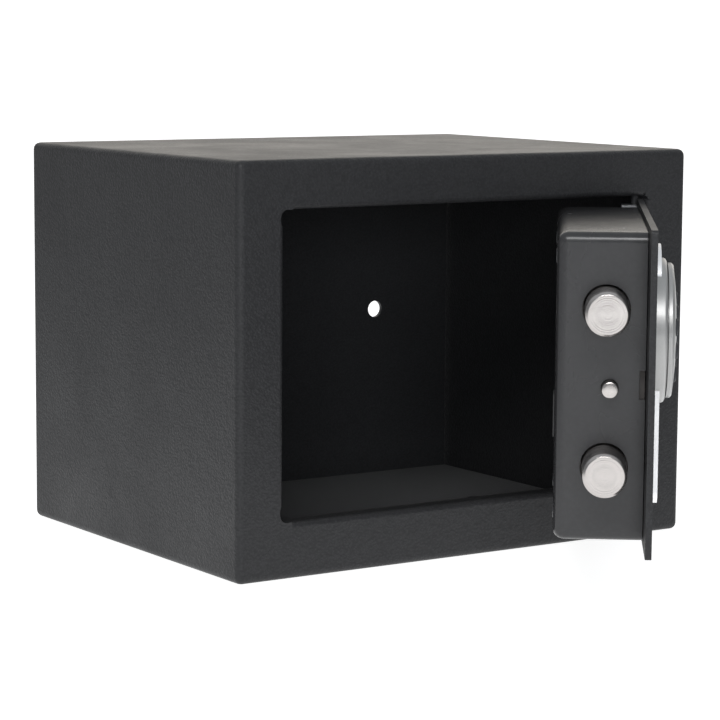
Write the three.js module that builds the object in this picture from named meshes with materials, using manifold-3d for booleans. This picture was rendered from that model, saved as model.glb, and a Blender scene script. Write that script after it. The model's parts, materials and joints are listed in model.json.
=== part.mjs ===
// A small furniture safe with an electronic lock, standing with its door part open.
// Millimetres, +Z up. The front faces -Y and the origin is the centre of the underside.
// The pieces are placed from the front face, at Y = 0, and the last group moves them all to the origin.
// The door is built closed, in its own frame: X runs from its free edge to its hinge, Y goes inwards
// from its outer face, and Z is height. Two nested groups then hang it on its hinge and open it.
import * as THREE from "three";
import { RoundedBoxGeometry } from "three/addons/geometries/RoundedBoxGeometry.js";
import { mergeVertices } from "three/addons/utils/BufferGeometryUtils.js";
import Module from "manifold-3d";

const wasm = await Module();
wasm.setup();

// Cabinet
const WIDTH = 230;
const DEPTH = 180;
const HEIGHT = 170;
const WALL = 2;
const EDGE_RADIUS = 3;
const SIDE_STILE = 21.5;
const TOP_STILE = 20;
const BOTTOM_STILE = 23.5;
const FLANGE_DEPTH = 8.4;
const FLANGE_BEND = 2.5;
const OPENING_CORNER = 4;
const HINGE_CORNER = 1.5; // of the opening on the hinge side
const RELIEF_WIDTH = 1.8; // of a relief past the opening's side
const RELIEF_HEIGHT = 7.4;
const RELIEF_RADIUS = 3.2;
const BACK_INSET = 0.5;
const ANCHOR_DIAMETER = 8;
const ANCHOR_SPACING = 140;
const BACK_ANCHOR_HEIGHT = 85;
const FLOOR_ANCHOR_DEPTH = 90;
const MAT_THICKNESS = 2;
const MAT_MARGIN = 1;
const MAT_HOLE_DIAMETER = 12;

// Fits
const SEAT = 0.3; // between pieces that touch
const RUNNING = 0.3; // round a shaft or in a slot
const DOOR_GAP = 1.3;
const HINGE_SIDE_GAP = 2.3;
const OVERCUT = 1; // of a cutter past the face that it goes through
const ROOT = 1; // of a joined piece inside the one that it grows from

// Door
const DOOR_OPEN = THREE.MathUtils.degToRad(52);
const PLATE = 2.5;
const PLATE_CORNER = 1.5;
const HINGE_SETBACK = 4.7; // from the opening's side to the hinge axis
const HINGE_DEPTH = 3.6; // of the hinge axis behind the outer face
const PIN_DIAMETER = 3.2;
const PIN_HEAD_DIAMETER = 6;
const PIN_HEAD = 1.2;
const PIN_PROUD = 0.8;
const TAB_THICKNESS = 2;
const TAB_DROP = 2.4; // of a hinge tab's far face from the plate's end
const TAB_WIDTH = 13;
const TAB_REACH = 6.5;
const TAB_NOSE = 2; // of tab past the hinge axis
const LINING_SETBACK = 23;
const LINING_HINGE_GAP = 16; // from the lining's end to the hinge axis
const LINING_DEPTH = 34.3;
const LINING_INSET = 2.5;
const LINING_WALL = 1.5;
const LINING_RADIUS = 4.3;
const PRY_NOTCH_WIDTH = 11; // in the lining's edge, to lift it off the plate
const PRY_NOTCH_DEPTH = 2.3;
const PRY_NOTCH_RISE = 1.2; // above the plate's middle
const STUD_DIAMETER = 7;
const STUD_EDGE = 10; // from the lining's edge to a stud's axis
const STUD_CLEARANCE = 5.5; // from a stud's axis to the battery holder or the circuit board
const SCREW_DIAMETER = 3;
const SCREW_LENGTH = 10;
const SCREW_HEAD_DIAMETER = 5.6; // of a countersunk head, with sides at 45 degrees
const SCREW_FACE = 0.1; // of the screw's face past the lining's
const SCREW_SLOT = 0.8;

// Bolt work
const BOLT_DIAMETER = 16.8;
const BOLT_EDGE = 29.1; // from the lining's top or bottom to a bolt's axis
const BOLT_AXIS = 18; // behind the outer face
const BOLT_TIP = 1; // behind the door's free edge, drawn back
const BOLT_LENGTH = 43.7;
const BOLT_CHAMFER = 1;
const BOLT_HOLE_CLEARANCE = 0.85;
const SPIGOT_DIAMETER = 6;
const SPIGOT_LENGTH = 4;
const GUIDE_PIN_DIAMETER = 6.2;
const GUIDE_PIN_AXIS = 16.3; // behind the outer face
const GUIDE_PIN_TIP = 16;
const CARRIER_SHEET = 2.5;
const CARRIER_MARGIN = 1;
const CARRIER_LEAF_WIDTH = 8;
const CARRIER_LEAF_CLEARANCE = 0.3;
const ARM_HALF_HEIGHT = 8;
const ARM_END = 10; // of arm past the crank pin
const GUIDE_OFFSET = 7; // of the bolt guide behind the lining's edge wall
const GUIDE_SHEET = 2.5;
const GUIDE_FOOT = 9;
const GUIDE_MARGIN = 1; // of the bolt guide past the bolt holes, inwards
const GUIDE_END_MARGIN = 2.5; // of the bolt guide past the bolt holes, up and down

// Lock
const LOCK_OFFSET = 0.3; // from the plate's middle towards the hinge
const LOCK_RISE = 14.55; // above the plate's middle
const KNOB_TURN = THREE.MathUtils.degToRad(64);
const HOUSING_WIDTH = 39;
const HOUSING_BELOW = 68.3; // from the knob's axis to the housing's lower end
const HOUSING_ABOVE = 35.2;
const HOUSING_CORNER = 5;
const HOUSING_TOP_CORNER = 19;
const HOUSING_THICKNESS = 4.3;
const BOSS_DIAMETER = 58.8;
const BOSS_HEIGHT = 6.7;
const BOSS_FLOOR = 1.5;
const BOSS_EDGE = 1.2;
const KNOB_DIAMETER = 54.8;
const KNOB_GROOVE = 0.5;
const KNOB_RIM = 1.5;
const KNOB_EDGE = 0.8;
const KNOB_CROWN = 1.8;
const KNOB_CROWN_STEPS = 4;
const KNOB_SKIRT_DIAMETER = 48.8;
const KNOB_WALL = 1.6;
const KNOB_ROOF = 1.3; // of the roof's underside above the knob's back
const HUB_DISC = 2;
const HUB_RIM = 0.5;
const HUB_BOSS_DIAMETER = 14;
const BOARD_THICKNESS = 1.2;
const BOARD_CLEARANCE = 0.7;
const SHAFT_DIAMETER = 8;
const SHAFT_FLAT = 3;
const BUSH_DIAMETER = 13;
const BUSH_FLANGE_DIAMETER = 18;
const BUSH_FLANGE = 1.5;
const CRANK_RADIUS = 10;
const CRANK_THICKNESS = 4;
const CRANK_HUB_DIAMETER = 16;
const CRANK_PIN_DIAMETER = 4;
const CRANK_NOSE_DIAMETER = 8;

// Keypad
const KEY_COLUMNS = 3;
const KEY_ROWS = 4;
const KEY_COLUMN_PITCH = 11;
const KEY_ROW_PITCH = 10;
const KEY_DIAMETER = 7;
const KEY_FLANGE_DIAMETER = 8.4;
const KEY_FLANGE = 0.8;
const KEY_PROUD = 0.7;
const KEY_EDGE = 0.4;

// Solenoid
const SOLENOID_OFFSET = 19; // from the knob's axis towards the free edge
const SOLENOID_WIDTH = 14;
const SOLENOID_DEPTH = 13;
const SOLENOID_HEIGHT = 20;
const SOLENOID_NECK = 4;
const SOLENOID_SHEET = 2.5;
const PLUNGER_DIAMETER = 5;
const PLUNGER_CLEARANCE = 0.4;
const PLUNGER_BURIED = 12;
const NOTCH_DEPTH = 4;
const NOTCH_CLEARANCE = 1;

// Emergency lock
const KEY_LOCK_DROP = 49.3; // below the knob's axis
const BARREL_DIAMETER = 16;
const BARREL_REACH = 16;
const NUT_WIDTH = 21;
const NUT_CORNER = 3;
const NUT_THICKNESS = 2.5;
const PLUG_DIAMETER = 12;
const PLUG_PROUD = 0.2;
const PLUG_TAIL_DIAMETER = 6;
const KEYWAY_WIDTH = 1.6;
const KEYWAY_HEIGHT = 7;
const KEYWAY_DEPTH = 8;
const CAM_THICKNESS = 2;
const CAM_LENGTH = 10;
const CAM_WIDTH = 10;
const CAM_CORNER = 4;
const COVER_WIDTH = 22;
const COVER_HEIGHT = 28;
const COVER_CORNER = 4;
const COVER_THICKNESS = 1.2;

// Batteries and board
const CELL_DIAMETER = 14.2;
const CELL_LENGTH = 49;
const CELL_NUB_DIAMETER = 5.5;
const CELL_NUB = 1.5;
const CELL_PITCH = 14.8;
const CELL_COUNT = 4;
const CELL_END_GAP = 0.6;
const HOLDER_WALL = 1.2;
const HOLDER_LEG = 6;
const HOLDER_MARGIN = 2.5; // from the lining's inner walls
const BATTERY_COVER_OVERLAP = 1; // of the cover's opening inside the holder's outer walls
const RIB_COUNT = 5;
const RIB_START = 6; // from the battery cover's opening
const RIB_HEIGHT = 0.6;
const RIB_WIDTH = 1.2;
const RIB_LENGTH = 18;
const RIB_PITCH = 3;
const CIRCUIT_LENGTH = 40;
const CIRCUIT_GAP = 9.3; // from the battery holder up to the circuit board
const CIRCUIT_THICKNESS = 1.5;
const PART_EDGE = 4; // from the board's lower or upper edge to a part on it
const CHIP_START = 8;
const CHIP_SIZE = 12;
const CHIP_RISE = 2;
const BUZZER_START = 26;
const BUZZER_SIZE = 8;
const BUZZER_RISE = 7;
const SOCKET_START = 6;
const SOCKET_LENGTH = 14;
const SOCKET_HEIGHT = 6;
const SOCKET_RISE = 5;
const CIRCUIT_POST_DIAMETER = 5;
const CIRCUIT_POST = 2.9;
const CIRCUIT_POST_EDGE = 4;
const RESET_DIAMETER = 6;
const RESET_FLANGE_DIAMETER = 8.4;
const RESET_FLANGE = 1.4;
const RESET_RECESS = 0.3; // of the button behind the lining's back
const RESET_OFFSET = 13; // from the hinge-side edge of the circuit board

// Places that follow from the sizes above
const openingHalf = WIDTH / 2 - SIDE_STILE;
const openingBottom = BOTTOM_STILE;
const openingTop = HEIGHT - TOP_STILE;
const hingeX = openingHalf - HINGE_SETBACK;
const plateStart = -openingHalf + DOOR_GAP;
const plateWidth = 2 * openingHalf - DOOR_GAP - HINGE_SIDE_GAP;
const plateBottom = openingBottom + DOOR_GAP;
const plateTop = openingTop - DOOR_GAP;
const plateMiddle = (plateBottom + plateTop) / 2;
const hingeU = hingeX - plateStart;
const liningEnd = hingeU - LINING_HINGE_GAP;
const liningLength = liningEnd - LINING_SETBACK;
const liningFront = PLATE + SEAT;
const liningBack = liningFront + LINING_DEPTH;
const liningRoof = liningBack - LINING_WALL;
const liningBottom = plateBottom + LINING_INSET;
const liningTop = plateTop - LINING_INSET;
const boltHeights = { lower: liningBottom + BOLT_EDGE, upper: liningTop - BOLT_EDGE };
const lockCentre = plateWidth / 2 + LOCK_OFFSET;
const lockHeight = plateMiddle + LOCK_RISE;
const keyLockHeight = lockHeight - KEY_LOCK_DROP;
const solenoidCentre = lockCentre - SOLENOID_OFFSET;
const boltEnd = BOLT_TIP + BOLT_LENGTH;
const carrierStart = boltEnd + SEAT;
const leafFront = BOLT_AXIS + BOLT_DIAMETER / 2 + CARRIER_LEAF_CLEARANCE;
const leafBack = leafFront + CARRIER_SHEET;
const boltThrow = 2 * CRANK_RADIUS * Math.sin(KNOB_TURN / 2);
const crankPinU = lockCentre + boltThrow / 2;
const crankPinZ = lockHeight + CRANK_RADIUS * Math.cos(KNOB_TURN / 2);
const crankBack = leafFront - SEAT;
const crankFront = crankBack - CRANK_THICKNESS;
const housingBack = -SEAT;
const housingFace = housingBack - HOUSING_THICKNESS;
const bossFace = housingBack - BOSS_HEIGHT;
const bossFloor = housingBack - BOSS_FLOOR;
const knobBack = bossFace - KNOB_GROOVE;
const knobRimFace = knobBack - KNOB_RIM;
const knobRoof = knobBack - KNOB_ROOF;
const skirtEnd = bossFloor - RUNNING;
const cavityRadius = KNOB_SKIRT_DIAMETER / 2 - KNOB_WALL;
const boardFace = knobRoof + SEAT + KEY_FLANGE + BOARD_CLEARANCE;
const boardBack = boardFace + BOARD_THICKNESS;
const hubRimFace = boardBack + SEAT;
const hubFace = hubRimFace + HUB_RIM;
const hubBack = hubFace + HUB_DISC;
const armBottom = lockHeight - ARM_HALF_HEIGHT;
const armTop = lockHeight + ARM_HALF_HEIGHT + CRANK_NOSE_DIAMETER / 2;
const holderEnd = liningEnd - LINING_WALL - HOLDER_MARGIN;
const holderLength = CELL_LENGTH + 2 * CELL_END_GAP + 2 * HOLDER_WALL;
const holderStart = holderEnd - holderLength;
const holderBottom = liningBottom + LINING_WALL + HOLDER_MARGIN;
const holderInner = CELL_PITCH * (CELL_COUNT - 1) + CELL_DIAMETER + 2 * SEAT;
const holderTop = holderBottom + holderInner + 2 * HOLDER_WALL;
const holderRim = liningRoof - SEAT;
const holderFloor = holderRim - CELL_DIAMETER - 2 * SEAT;
const circuitEnd = holderEnd;
const circuitStart = circuitEnd - CIRCUIT_LENGTH;
const circuitTop = liningTop - LINING_WALL - HOLDER_MARGIN;
const circuitBottom = holderTop + CIRCUIT_GAP;
const circuitBack = liningRoof - CIRCUIT_POST - SEAT;
const resetU = circuitEnd - RESET_OFFSET;
const resetZ = (circuitTop + circuitBottom) / 2;

const ROUND = 28; // sides of a plain round piece
const SMALL_ROUND = 16;
const LARGE_ROUND = 48;
const EDGE_STEPS = 2; // of a rounded box's edges
const CURVE_STEPS = 5; // of a rounded corner or bend

function finish(color, roughness, metalness) {
  return new THREE.MeshStandardMaterial({ color, roughness, metalness });
}

const powderBlack = finish(0x2e2e31, 0.62, 0.1);
const satinBlack = finish(0x29292b, 0.45, 0.15);
const turnedSteel = finish(0xc9c6c2, 0.32, 0.9);
const zincSteel = finish(0xa7abae, 0.42, 0.85);
const phosphatedSteel = finish(0x55514e, 0.6, 0.3);
const silverPlastic = finish(0xb9bab9, 0.38, 0.45);
const keyPlastic = finish(0x2b2d30, 0.5, 0);
const blackPlastic = finish(0x1d1e20, 0.55, 0);
const brass = finish(0xb08d4b, 0.35, 0.9);
const greenBoard = finish(0x1f5a38, 0.5, 0);
const matFelt = finish(0x202124, 0.95, 0);
const cellWrap = finish(0x3b4a58, 0.4, 0.2);
const redPlastic = finish(0xb3231f, 0.4, 0);

// A closed three.js geometry as a solid that can be joined and cut.
function solid(geometry) {
  const bare = geometry.index ? geometry.toNonIndexed() : geometry.clone();
  bare.deleteAttribute("normal");
  bare.deleteAttribute("uv");
  const merged = mergeVertices(bare, 1e-4);
  return new wasm.Manifold(
    new wasm.Mesh({
      numProp: 3,
      vertProperties: merged.attributes.position.array,
      triVerts: new Uint32Array(merged.index.array),
    }),
  );
}

const join = (first, ...rest) => rest.reduce((all, piece) => all.add(piece), first);
const cut = (first, ...rest) => rest.reduce((all, piece) => all.subtract(piece), first);

function mesh(name, shape, material) {
  const made = shape.getMesh();
  const count = made.numProp;
  const positions = new Float32Array(made.numVert * 3);
  for (let i = 0; i < made.numVert; i++) {
    positions.set(made.vertProperties.subarray(i * count, i * count + 3), i * 3);
  }
  const geometry = new THREE.BufferGeometry();
  geometry.setAttribute("position", new THREE.BufferAttribute(positions, 3));
  geometry.setIndex(new THREE.BufferAttribute(made.triVerts, 1));
  geometry.computeVertexNormals();
  const piece = new THREE.Mesh(geometry, material);
  piece.name = name;
  return piece;
}

function block(x0, x1, y0, y1, z0, z1) {
  const geometry = new THREE.BoxGeometry(x1 - x0, y1 - y0, z1 - z0);
  return solid(geometry.translate((x0 + x1) / 2, (y0 + y1) / 2, (z0 + z1) / 2));
}

// Round bars along Y, Z and X.
function barY(radius, x, z, y0, y1, sides = ROUND) {
  const geometry = new THREE.CylinderGeometry(radius, radius, y1 - y0, sides);
  return solid(geometry.translate(x, (y0 + y1) / 2, z));
}

function barZ(radius, x, y, z0, z1, sides = ROUND) {
  const geometry = new THREE.CylinderGeometry(radius, radius, z1 - z0, sides);
  return solid(geometry.rotateX(Math.PI / 2).translate(x, y, (z0 + z1) / 2));
}

function barX(radius, y, z, x0, x1, sides = ROUND) {
  const geometry = new THREE.CylinderGeometry(radius, radius, x1 - x0, sides);
  return solid(geometry.rotateZ(Math.PI / 2).translate((x0 + x1) / 2, y, z));
}

// A solid of revolution round the Y axis. Points are [radius, y], with y rising.
function turned(points, sides = ROUND) {
  return solid(new THREE.LatheGeometry(points.map(([r, y]) => new THREE.Vector2(r, y)), sides));
}

// A plate with rounded corners in the XZ plane, from y0 to y1.
function roundedPlate(x0, x1, z0, z1, radius, y0, y1) {
  const shape = new THREE.Shape();
  shape.moveTo(x0 + radius, z0);
  shape.lineTo(x1 - radius, z0);
  shape.absarc(x1 - radius, z0 + radius, radius, -Math.PI / 2, 0);
  shape.lineTo(x1, z1 - radius);
  shape.absarc(x1 - radius, z1 - radius, radius, 0, Math.PI / 2);
  shape.lineTo(x0 + radius, z1);
  shape.absarc(x0 + radius, z1 - radius, radius, Math.PI / 2, Math.PI);
  shape.lineTo(x0, z0 + radius);
  shape.absarc(x0 + radius, z0 + radius, radius, Math.PI, 1.5 * Math.PI);
  const options = { depth: y1 - y0, bevelEnabled: false, curveSegments: CURVE_STEPS };
  return solid(new THREE.ExtrudeGeometry(shape, options).rotateX(Math.PI / 2).translate(0, y1, 0));
}

// What a rounded bend takes off a square edge that runs along Z, at the origin and towards +X and +Y.
function bendCutter(radius, length) {
  const shape = new THREE.Shape();
  shape.moveTo(-OVERCUT, -OVERCUT);
  shape.lineTo(radius, -OVERCUT);
  shape.lineTo(radius, 0);
  shape.absarc(radius, radius, radius, -Math.PI / 2, -Math.PI, true);
  shape.lineTo(-OVERCUT, radius);
  shape.closePath();
  return new THREE.ExtrudeGeometry(shape, { depth: length, bevelEnabled: false, curveSegments: CURVE_STEPS });
}

// The folded cabinet: four walls, the front face, and the flange folded in round the door opening.
function bodyShell() {
  const outside = new RoundedBoxGeometry(WIDTH, DEPTH, HEIGHT, EDGE_STEPS, EDGE_RADIUS);
  const half = WIDTH / 2 - WALL;
  const front = [-OVERCUT, WALL + OVERCUT];
  let shell = cut(
    solid(outside.translate(0, DEPTH / 2, HEIGHT / 2)),
    block(-half, half, WALL, DEPTH + OVERCUT, WALL, HEIGHT - WALL),
    roundedPlate(-openingHalf, openingHalf, openingBottom, openingTop, OPENING_CORNER, ...front),
    roundedPlate(0, openingHalf, openingBottom, openingTop, HINGE_CORNER, ...front),
  );
  for (const side of [-1, 1]) {
    const inner = side * openingHalf;
    const outer = side * (openingHalf + WALL);
    const x0 = Math.min(inner, outer);
    const high = [openingBottom - WALL, openingTop + WALL];
    shell = join(shell, block(x0, x0 + WALL, WALL / 2, FLANGE_DEPTH, ...high));
  }
  for (const z of [openingBottom - WALL, openingTop]) {
    shell = join(shell, block(-openingHalf, openingHalf, WALL / 2, FLANGE_DEPTH, z, z + WALL));
  }
  shell = cut(shell, ...openingBends(), ...cornerReliefs());
  for (const z of [openingBottom - WALL, openingTop]) {
    const hole = PIN_DIAMETER / 2 + RUNNING;
    shell = cut(shell, barZ(hole, hingeX, HINGE_DEPTH, z - OVERCUT, z + WALL + OVERCUT, SMALL_ROUND));
  }
  for (const x of [-ANCHOR_SPACING / 2, ANCHOR_SPACING / 2]) {
    shell = cut(shell, barZ(ANCHOR_DIAMETER / 2, x, FLOOR_ANCHOR_DEPTH, -OVERCUT, WALL + OVERCUT));
  }
  return mesh("body_shell", shell, powderBlack);
}

function openingBends() {
  const high = openingTop - openingBottom - 2 * OPENING_CORNER;
  const hingeHigh = openingTop - openingBottom - 2 * HINGE_CORNER;
  const x0 = OPENING_CORNER - openingHalf;
  const x1 = openingHalf - HINGE_CORNER;
  const wide = x1 - x0;
  const upper = openingTop - OPENING_CORNER;
  const lower = openingBottom + HINGE_CORNER;
  // Each edge has the direction of its sheet, the direction that it runs in, its start and its length.
  const edges = [
    { sheet: vector(-1, 0, 0), along: vector(0, 0, -1), x: -openingHalf, z: upper, length: high },
    { sheet: vector(1, 0, 0), along: vector(0, 0, 1), x: openingHalf, z: lower, length: hingeHigh },
    { sheet: vector(0, 0, 1), along: vector(-1, 0, 0), x: x1, z: openingTop, length: wide },
    { sheet: vector(0, 0, -1), along: vector(1, 0, 0), x: x0, z: openingBottom, length: wide },
  ];
  return edges.map(({ sheet, along, x, z, length }) => {
    const turn = new THREE.Matrix4().makeBasis(sheet, vector(0, 1, 0), along);
    return solid(bendCutter(FLANGE_BEND, length).applyMatrix4(turn).translate(x, 0, z));
  });
}

function vector(x, y, z) {
  return new THREE.Vector3(x, y, z);
}

// The rounded reliefs that let the sheet fold at the corners on the opening's free side.
function cornerReliefs() {
  const x0 = -openingHalf - RELIEF_WIDTH;
  const x1 = x0 + RELIEF_HEIGHT;
  return [openingBottom, openingTop - RELIEF_HEIGHT].map((z) =>
    roundedPlate(x0, x1, z, z + RELIEF_HEIGHT, RELIEF_RADIUS, -OVERCUT, FLANGE_DEPTH + OVERCUT),
  );
}

function backPanel() {
  const half = WIDTH / 2 - WALL - SEAT;
  const y1 = DEPTH - BACK_INSET;
  let panel = block(-half, half, y1 - WALL, y1, WALL + SEAT, HEIGHT - WALL - SEAT);
  for (const x of [-ANCHOR_SPACING / 2, ANCHOR_SPACING / 2]) {
    panel = cut(panel, barY(ANCHOR_DIAMETER / 2, x, BACK_ANCHOR_HEIGHT, y1 - WALL - OVERCUT, y1 + OVERCUT));
  }
  return mesh("back_panel", panel, powderBlack);
}

function floorMat() {
  const half = WIDTH / 2 - WALL - MAT_MARGIN;
  const y0 = WALL + MAT_MARGIN;
  const y1 = DEPTH - BACK_INSET - WALL - MAT_MARGIN;
  const z0 = WALL + SEAT;
  let mat = block(-half, half, y0, y1, z0, z0 + MAT_THICKNESS);
  for (const x of [-ANCHOR_SPACING / 2, ANCHOR_SPACING / 2]) {
    mat = cut(mat, barZ(MAT_HOLE_DIAMETER / 2, x, FLOOR_ANCHOR_DEPTH, 0, z0 + MAT_THICKNESS + OVERCUT));
  }
  return mesh("floor_mat", mat, matFelt);
}

// The four studs and screws that hold the lining, as [u, z].
const studPlaces = [
  [LINING_SETBACK + STUD_EDGE, liningBottom + STUD_EDGE],
  [LINING_SETBACK + STUD_EDGE, liningTop - STUD_EDGE],
  [holderStart - STUD_CLEARANCE, liningBottom + STUD_EDGE],
  [circuitStart - STUD_CLEARANCE, liningTop - STUD_EDGE],
];

function doorPlate() {
  let plate = roundedPlate(0, plateWidth, plateBottom, plateTop, PLATE_CORNER, 0, PLATE);
  const studEnd = liningRoof - SEAT;
  for (const [u, z] of studPlaces) {
    const thread = barY(SCREW_DIAMETER / 2 + RUNNING, u, z, studEnd - SCREW_LENGTH, liningRoof, SMALL_ROUND);
    plate = join(plate, barY(STUD_DIAMETER / 2, u, z, PLATE / 2, studEnd, SMALL_ROUND));
    plate = cut(plate, thread);
  }
  const groove = PIN_DIAMETER / 2 + RUNNING;
  const headGroove = PIN_HEAD_DIAMETER / 2 + RUNNING;
  const grooveLength = TAB_DROP + TAB_THICKNESS + PIN_HEAD + 2 * SEAT;
  return mesh(
    "door_plate",
    cut(
      plate,
      barY(BUSH_DIAMETER / 2 + SEAT, lockCentre, lockHeight, -OVERCUT, PLATE + OVERCUT),
      barY(BARREL_DIAMETER / 2 + SEAT, lockCentre, keyLockHeight, -OVERCUT, PLATE + OVERCUT),
      barZ(groove, hingeU, HINGE_DEPTH, plateTop - TAB_DROP, plateTop + OVERCUT, SMALL_ROUND),
      barZ(groove, hingeU, HINGE_DEPTH, plateBottom - OVERCUT, plateBottom + TAB_DROP, SMALL_ROUND),
      barZ(headGroove, hingeU, HINGE_DEPTH, plateTop - grooveLength, plateTop - TAB_DROP),
      barZ(headGroove, hingeU, HINGE_DEPTH, plateBottom + TAB_DROP, plateBottom + grooveLength),
    ),
    powderBlack,
  );
}

// A rounded box without its face towards the plate.
function linedBox(grow) {
  const y0 = liningFront - 2 * LINING_RADIUS;
  const y1 = liningBack + grow;
  const long = liningLength + 2 * grow;
  const high = liningTop - liningBottom + 2 * grow;
  const geometry = new RoundedBoxGeometry(long, y1 - y0, high, EDGE_STEPS, LINING_RADIUS + grow);
  const middle = [LINING_SETBACK + liningLength / 2, (y0 + y1) / 2, (liningBottom + liningTop) / 2];
  return solid(geometry.translate(...middle));
}

const coverOpening = {
  x0: holderStart + BATTERY_COVER_OVERLAP,
  x1: holderEnd - BATTERY_COVER_OVERLAP,
  z0: holderBottom + BATTERY_COVER_OVERLAP,
  z1: holderTop - BATTERY_COVER_OVERLAP,
};

function doorLining() {
  let lining = cut(
    linedBox(0),
    linedBox(-LINING_WALL),
    block(-WIDTH, WIDTH, -LINING_DEPTH, liningFront, 0, HEIGHT),
  );
  const postEnd = liningBack - LINING_WALL / 2;
  for (const [u, z] of circuitPosts()) {
    const post = barY(CIRCUIT_POST_DIAMETER / 2, u, z, liningRoof - CIRCUIT_POST, postEnd, SMALL_ROUND);
    lining = join(lining, post);
  }
  const edgeWall = [LINING_SETBACK - OVERCUT, LINING_SETBACK + LINING_WALL + OVERCUT];
  const roof = [liningRoof - OVERCUT, liningBack + OVERCUT];
  for (const z of Object.values(boltHeights)) {
    lining = cut(lining, barX(BOLT_DIAMETER / 2 + BOLT_HOLE_CLEARANCE, BOLT_AXIS, z, ...edgeWall));
  }
  lining = cut(
    lining,
    barX(GUIDE_PIN_DIAMETER / 2 + RUNNING, GUIDE_PIN_AXIS, plateMiddle, ...edgeWall, SMALL_ROUND),
    barY(RESET_DIAMETER / 2 + RUNNING, resetU, resetZ, ...roof, SMALL_ROUND),
    block(coverOpening.x0, coverOpening.x1, ...roof, coverOpening.z0, coverOpening.z1),
  );
  for (const [u, z] of studPlaces) {
    const hole = barY(SCREW_DIAMETER / 2 + RUNNING, u, z, ...roof, SMALL_ROUND);
    lining = cut(lining, hole, countersunk(u, z, SEAT * Math.SQRT2, OVERCUT));
  }
  const notchBottom = plateMiddle + PRY_NOTCH_RISE - PRY_NOTCH_WIDTH / 2;
  const notch = [0, liningFront + PRY_NOTCH_DEPTH, notchBottom, notchBottom + PRY_NOTCH_WIDTH];
  lining = cut(lining, block(...edgeWall, ...notch));
  return mesh("door_lining", lining, satinBlack);
}

// A countersunk screw head at the lining's back face, grown all round and run on past that face.
function countersunk(u, z, grow, past) {
  const wide = SCREW_HEAD_DIAMETER / 2 + grow;
  const narrow = SCREW_DIAMETER / 2;
  return turned(
    [
      [0, liningBack - wide + narrow],
      [narrow, liningBack - wide + narrow],
      [wide, liningBack],
      [wide, liningBack + past],
      [0, liningBack + past],
    ],
    SMALL_ROUND,
  ).translate([u, 0, z]);
}

function liningScrews() {
  return studPlaces.map(([u, z], i) => {
    const head = countersunk(u, z, 0, SCREW_FACE);
    const face = liningBack + SCREW_FACE;
    const shank = barY(SCREW_DIAMETER / 2, u, z, face - SCREW_LENGTH, liningBack, SMALL_ROUND);
    const reach = SCREW_HEAD_DIAMETER / 3;
    const half = SCREW_SLOT / 2;
    const cross = [
      block(u - reach, u + reach, face - SCREW_SLOT, face + OVERCUT, z - half, z + half),
      block(u - half, u + half, face - SCREW_SLOT, face + OVERCUT, z - reach, z + reach),
    ];
    return mesh(`lining_screw_${i + 1}`, cut(join(head, shank), ...cross), zincSteel);
  });
}

// One tab welded behind the plate, and the pin that stands in it and turns in the cabinet's flange.
function hingePieces(name, end, away) {
  const span = (from, to) => [end + away * from, end + away * to].sort((a, b) => a - b);
  const headStart = -TAB_DROP - TAB_THICKNESS - SEAT;
  const tabZ = span(-TAB_DROP, -TAB_DROP - TAB_THICKNESS);
  const pinZ = span(DOOR_GAP + WALL + PIN_PROUD, headStart);
  const headZ = span(headStart, headStart - PIN_HEAD);
  const u1 = hingeU + TAB_NOSE;
  const tab = cut(
    block(u1 - TAB_WIDTH, u1, PLATE + SEAT, PLATE + SEAT + TAB_REACH, ...tabZ),
    barZ(PIN_DIAMETER / 2 + SEAT, hingeU, HINGE_DEPTH, tabZ[0] - OVERCUT, tabZ[1] + OVERCUT, SMALL_ROUND),
  );
  const pin = join(
    barZ(PIN_DIAMETER / 2, hingeU, HINGE_DEPTH, ...pinZ, SMALL_ROUND),
    barZ(PIN_HEAD_DIAMETER / 2, hingeU, HINGE_DEPTH, ...headZ, SMALL_ROUND),
  );
  return [mesh(`hinge_tab_${name}`, tab, zincSteel), mesh(`hinge_pin_${name}`, pin, powderBlack)];
}

// The moulded escutcheon: an upright plate with the round boss that the knob turns in.
function lockHousing() {
  const u0 = lockCentre - HOUSING_WIDTH / 2;
  const u1 = lockCentre + HOUSING_WIDTH / 2;
  const z0 = lockHeight - HOUSING_BELOW;
  const z1 = lockHeight + HOUSING_ABOVE;
  const middle = (z0 + z1) / 2;
  const slab = join(
    roundedPlate(u0, u1, z0, middle + HOUSING_CORNER, HOUSING_CORNER, housingFace, housingBack),
    roundedPlate(u0, u1, middle - HOUSING_TOP_CORNER, z1, HOUSING_TOP_CORNER, housingFace, housingBack),
  );
  const radius = BOSS_DIAMETER / 2;
  const boss = turned(
    [
      [0, bossFace],
      [radius - BOSS_EDGE, bossFace],
      [radius - BOSS_EDGE / 3, bossFace + BOSS_EDGE / 3],
      [radius, bossFace + BOSS_EDGE],
      [radius, housingBack],
      [0, housingBack],
    ],
    LARGE_ROUND,
  ).translate([lockCentre, 0, lockHeight]);
  const well = KNOB_SKIRT_DIAMETER / 2 + RUNNING;
  const coverBack = housingFace + COVER_THICKNESS + SEAT;
  return mesh(
    "lock_housing",
    cut(
      join(slab, boss),
      barY(well, lockCentre, lockHeight, bossFace - OVERCUT, bossFloor, LARGE_ROUND),
      barY(BUSH_DIAMETER / 2 + SEAT, lockCentre, lockHeight, bossFloor - OVERCUT, 0),
      coverPlate(SEAT, housingFace - OVERCUT, coverBack),
      barY(BARREL_DIAMETER / 2 + SEAT, lockCentre, keyLockHeight, coverBack - OVERCUT, 0),
    ),
    silverPlastic,
  );
}

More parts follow.
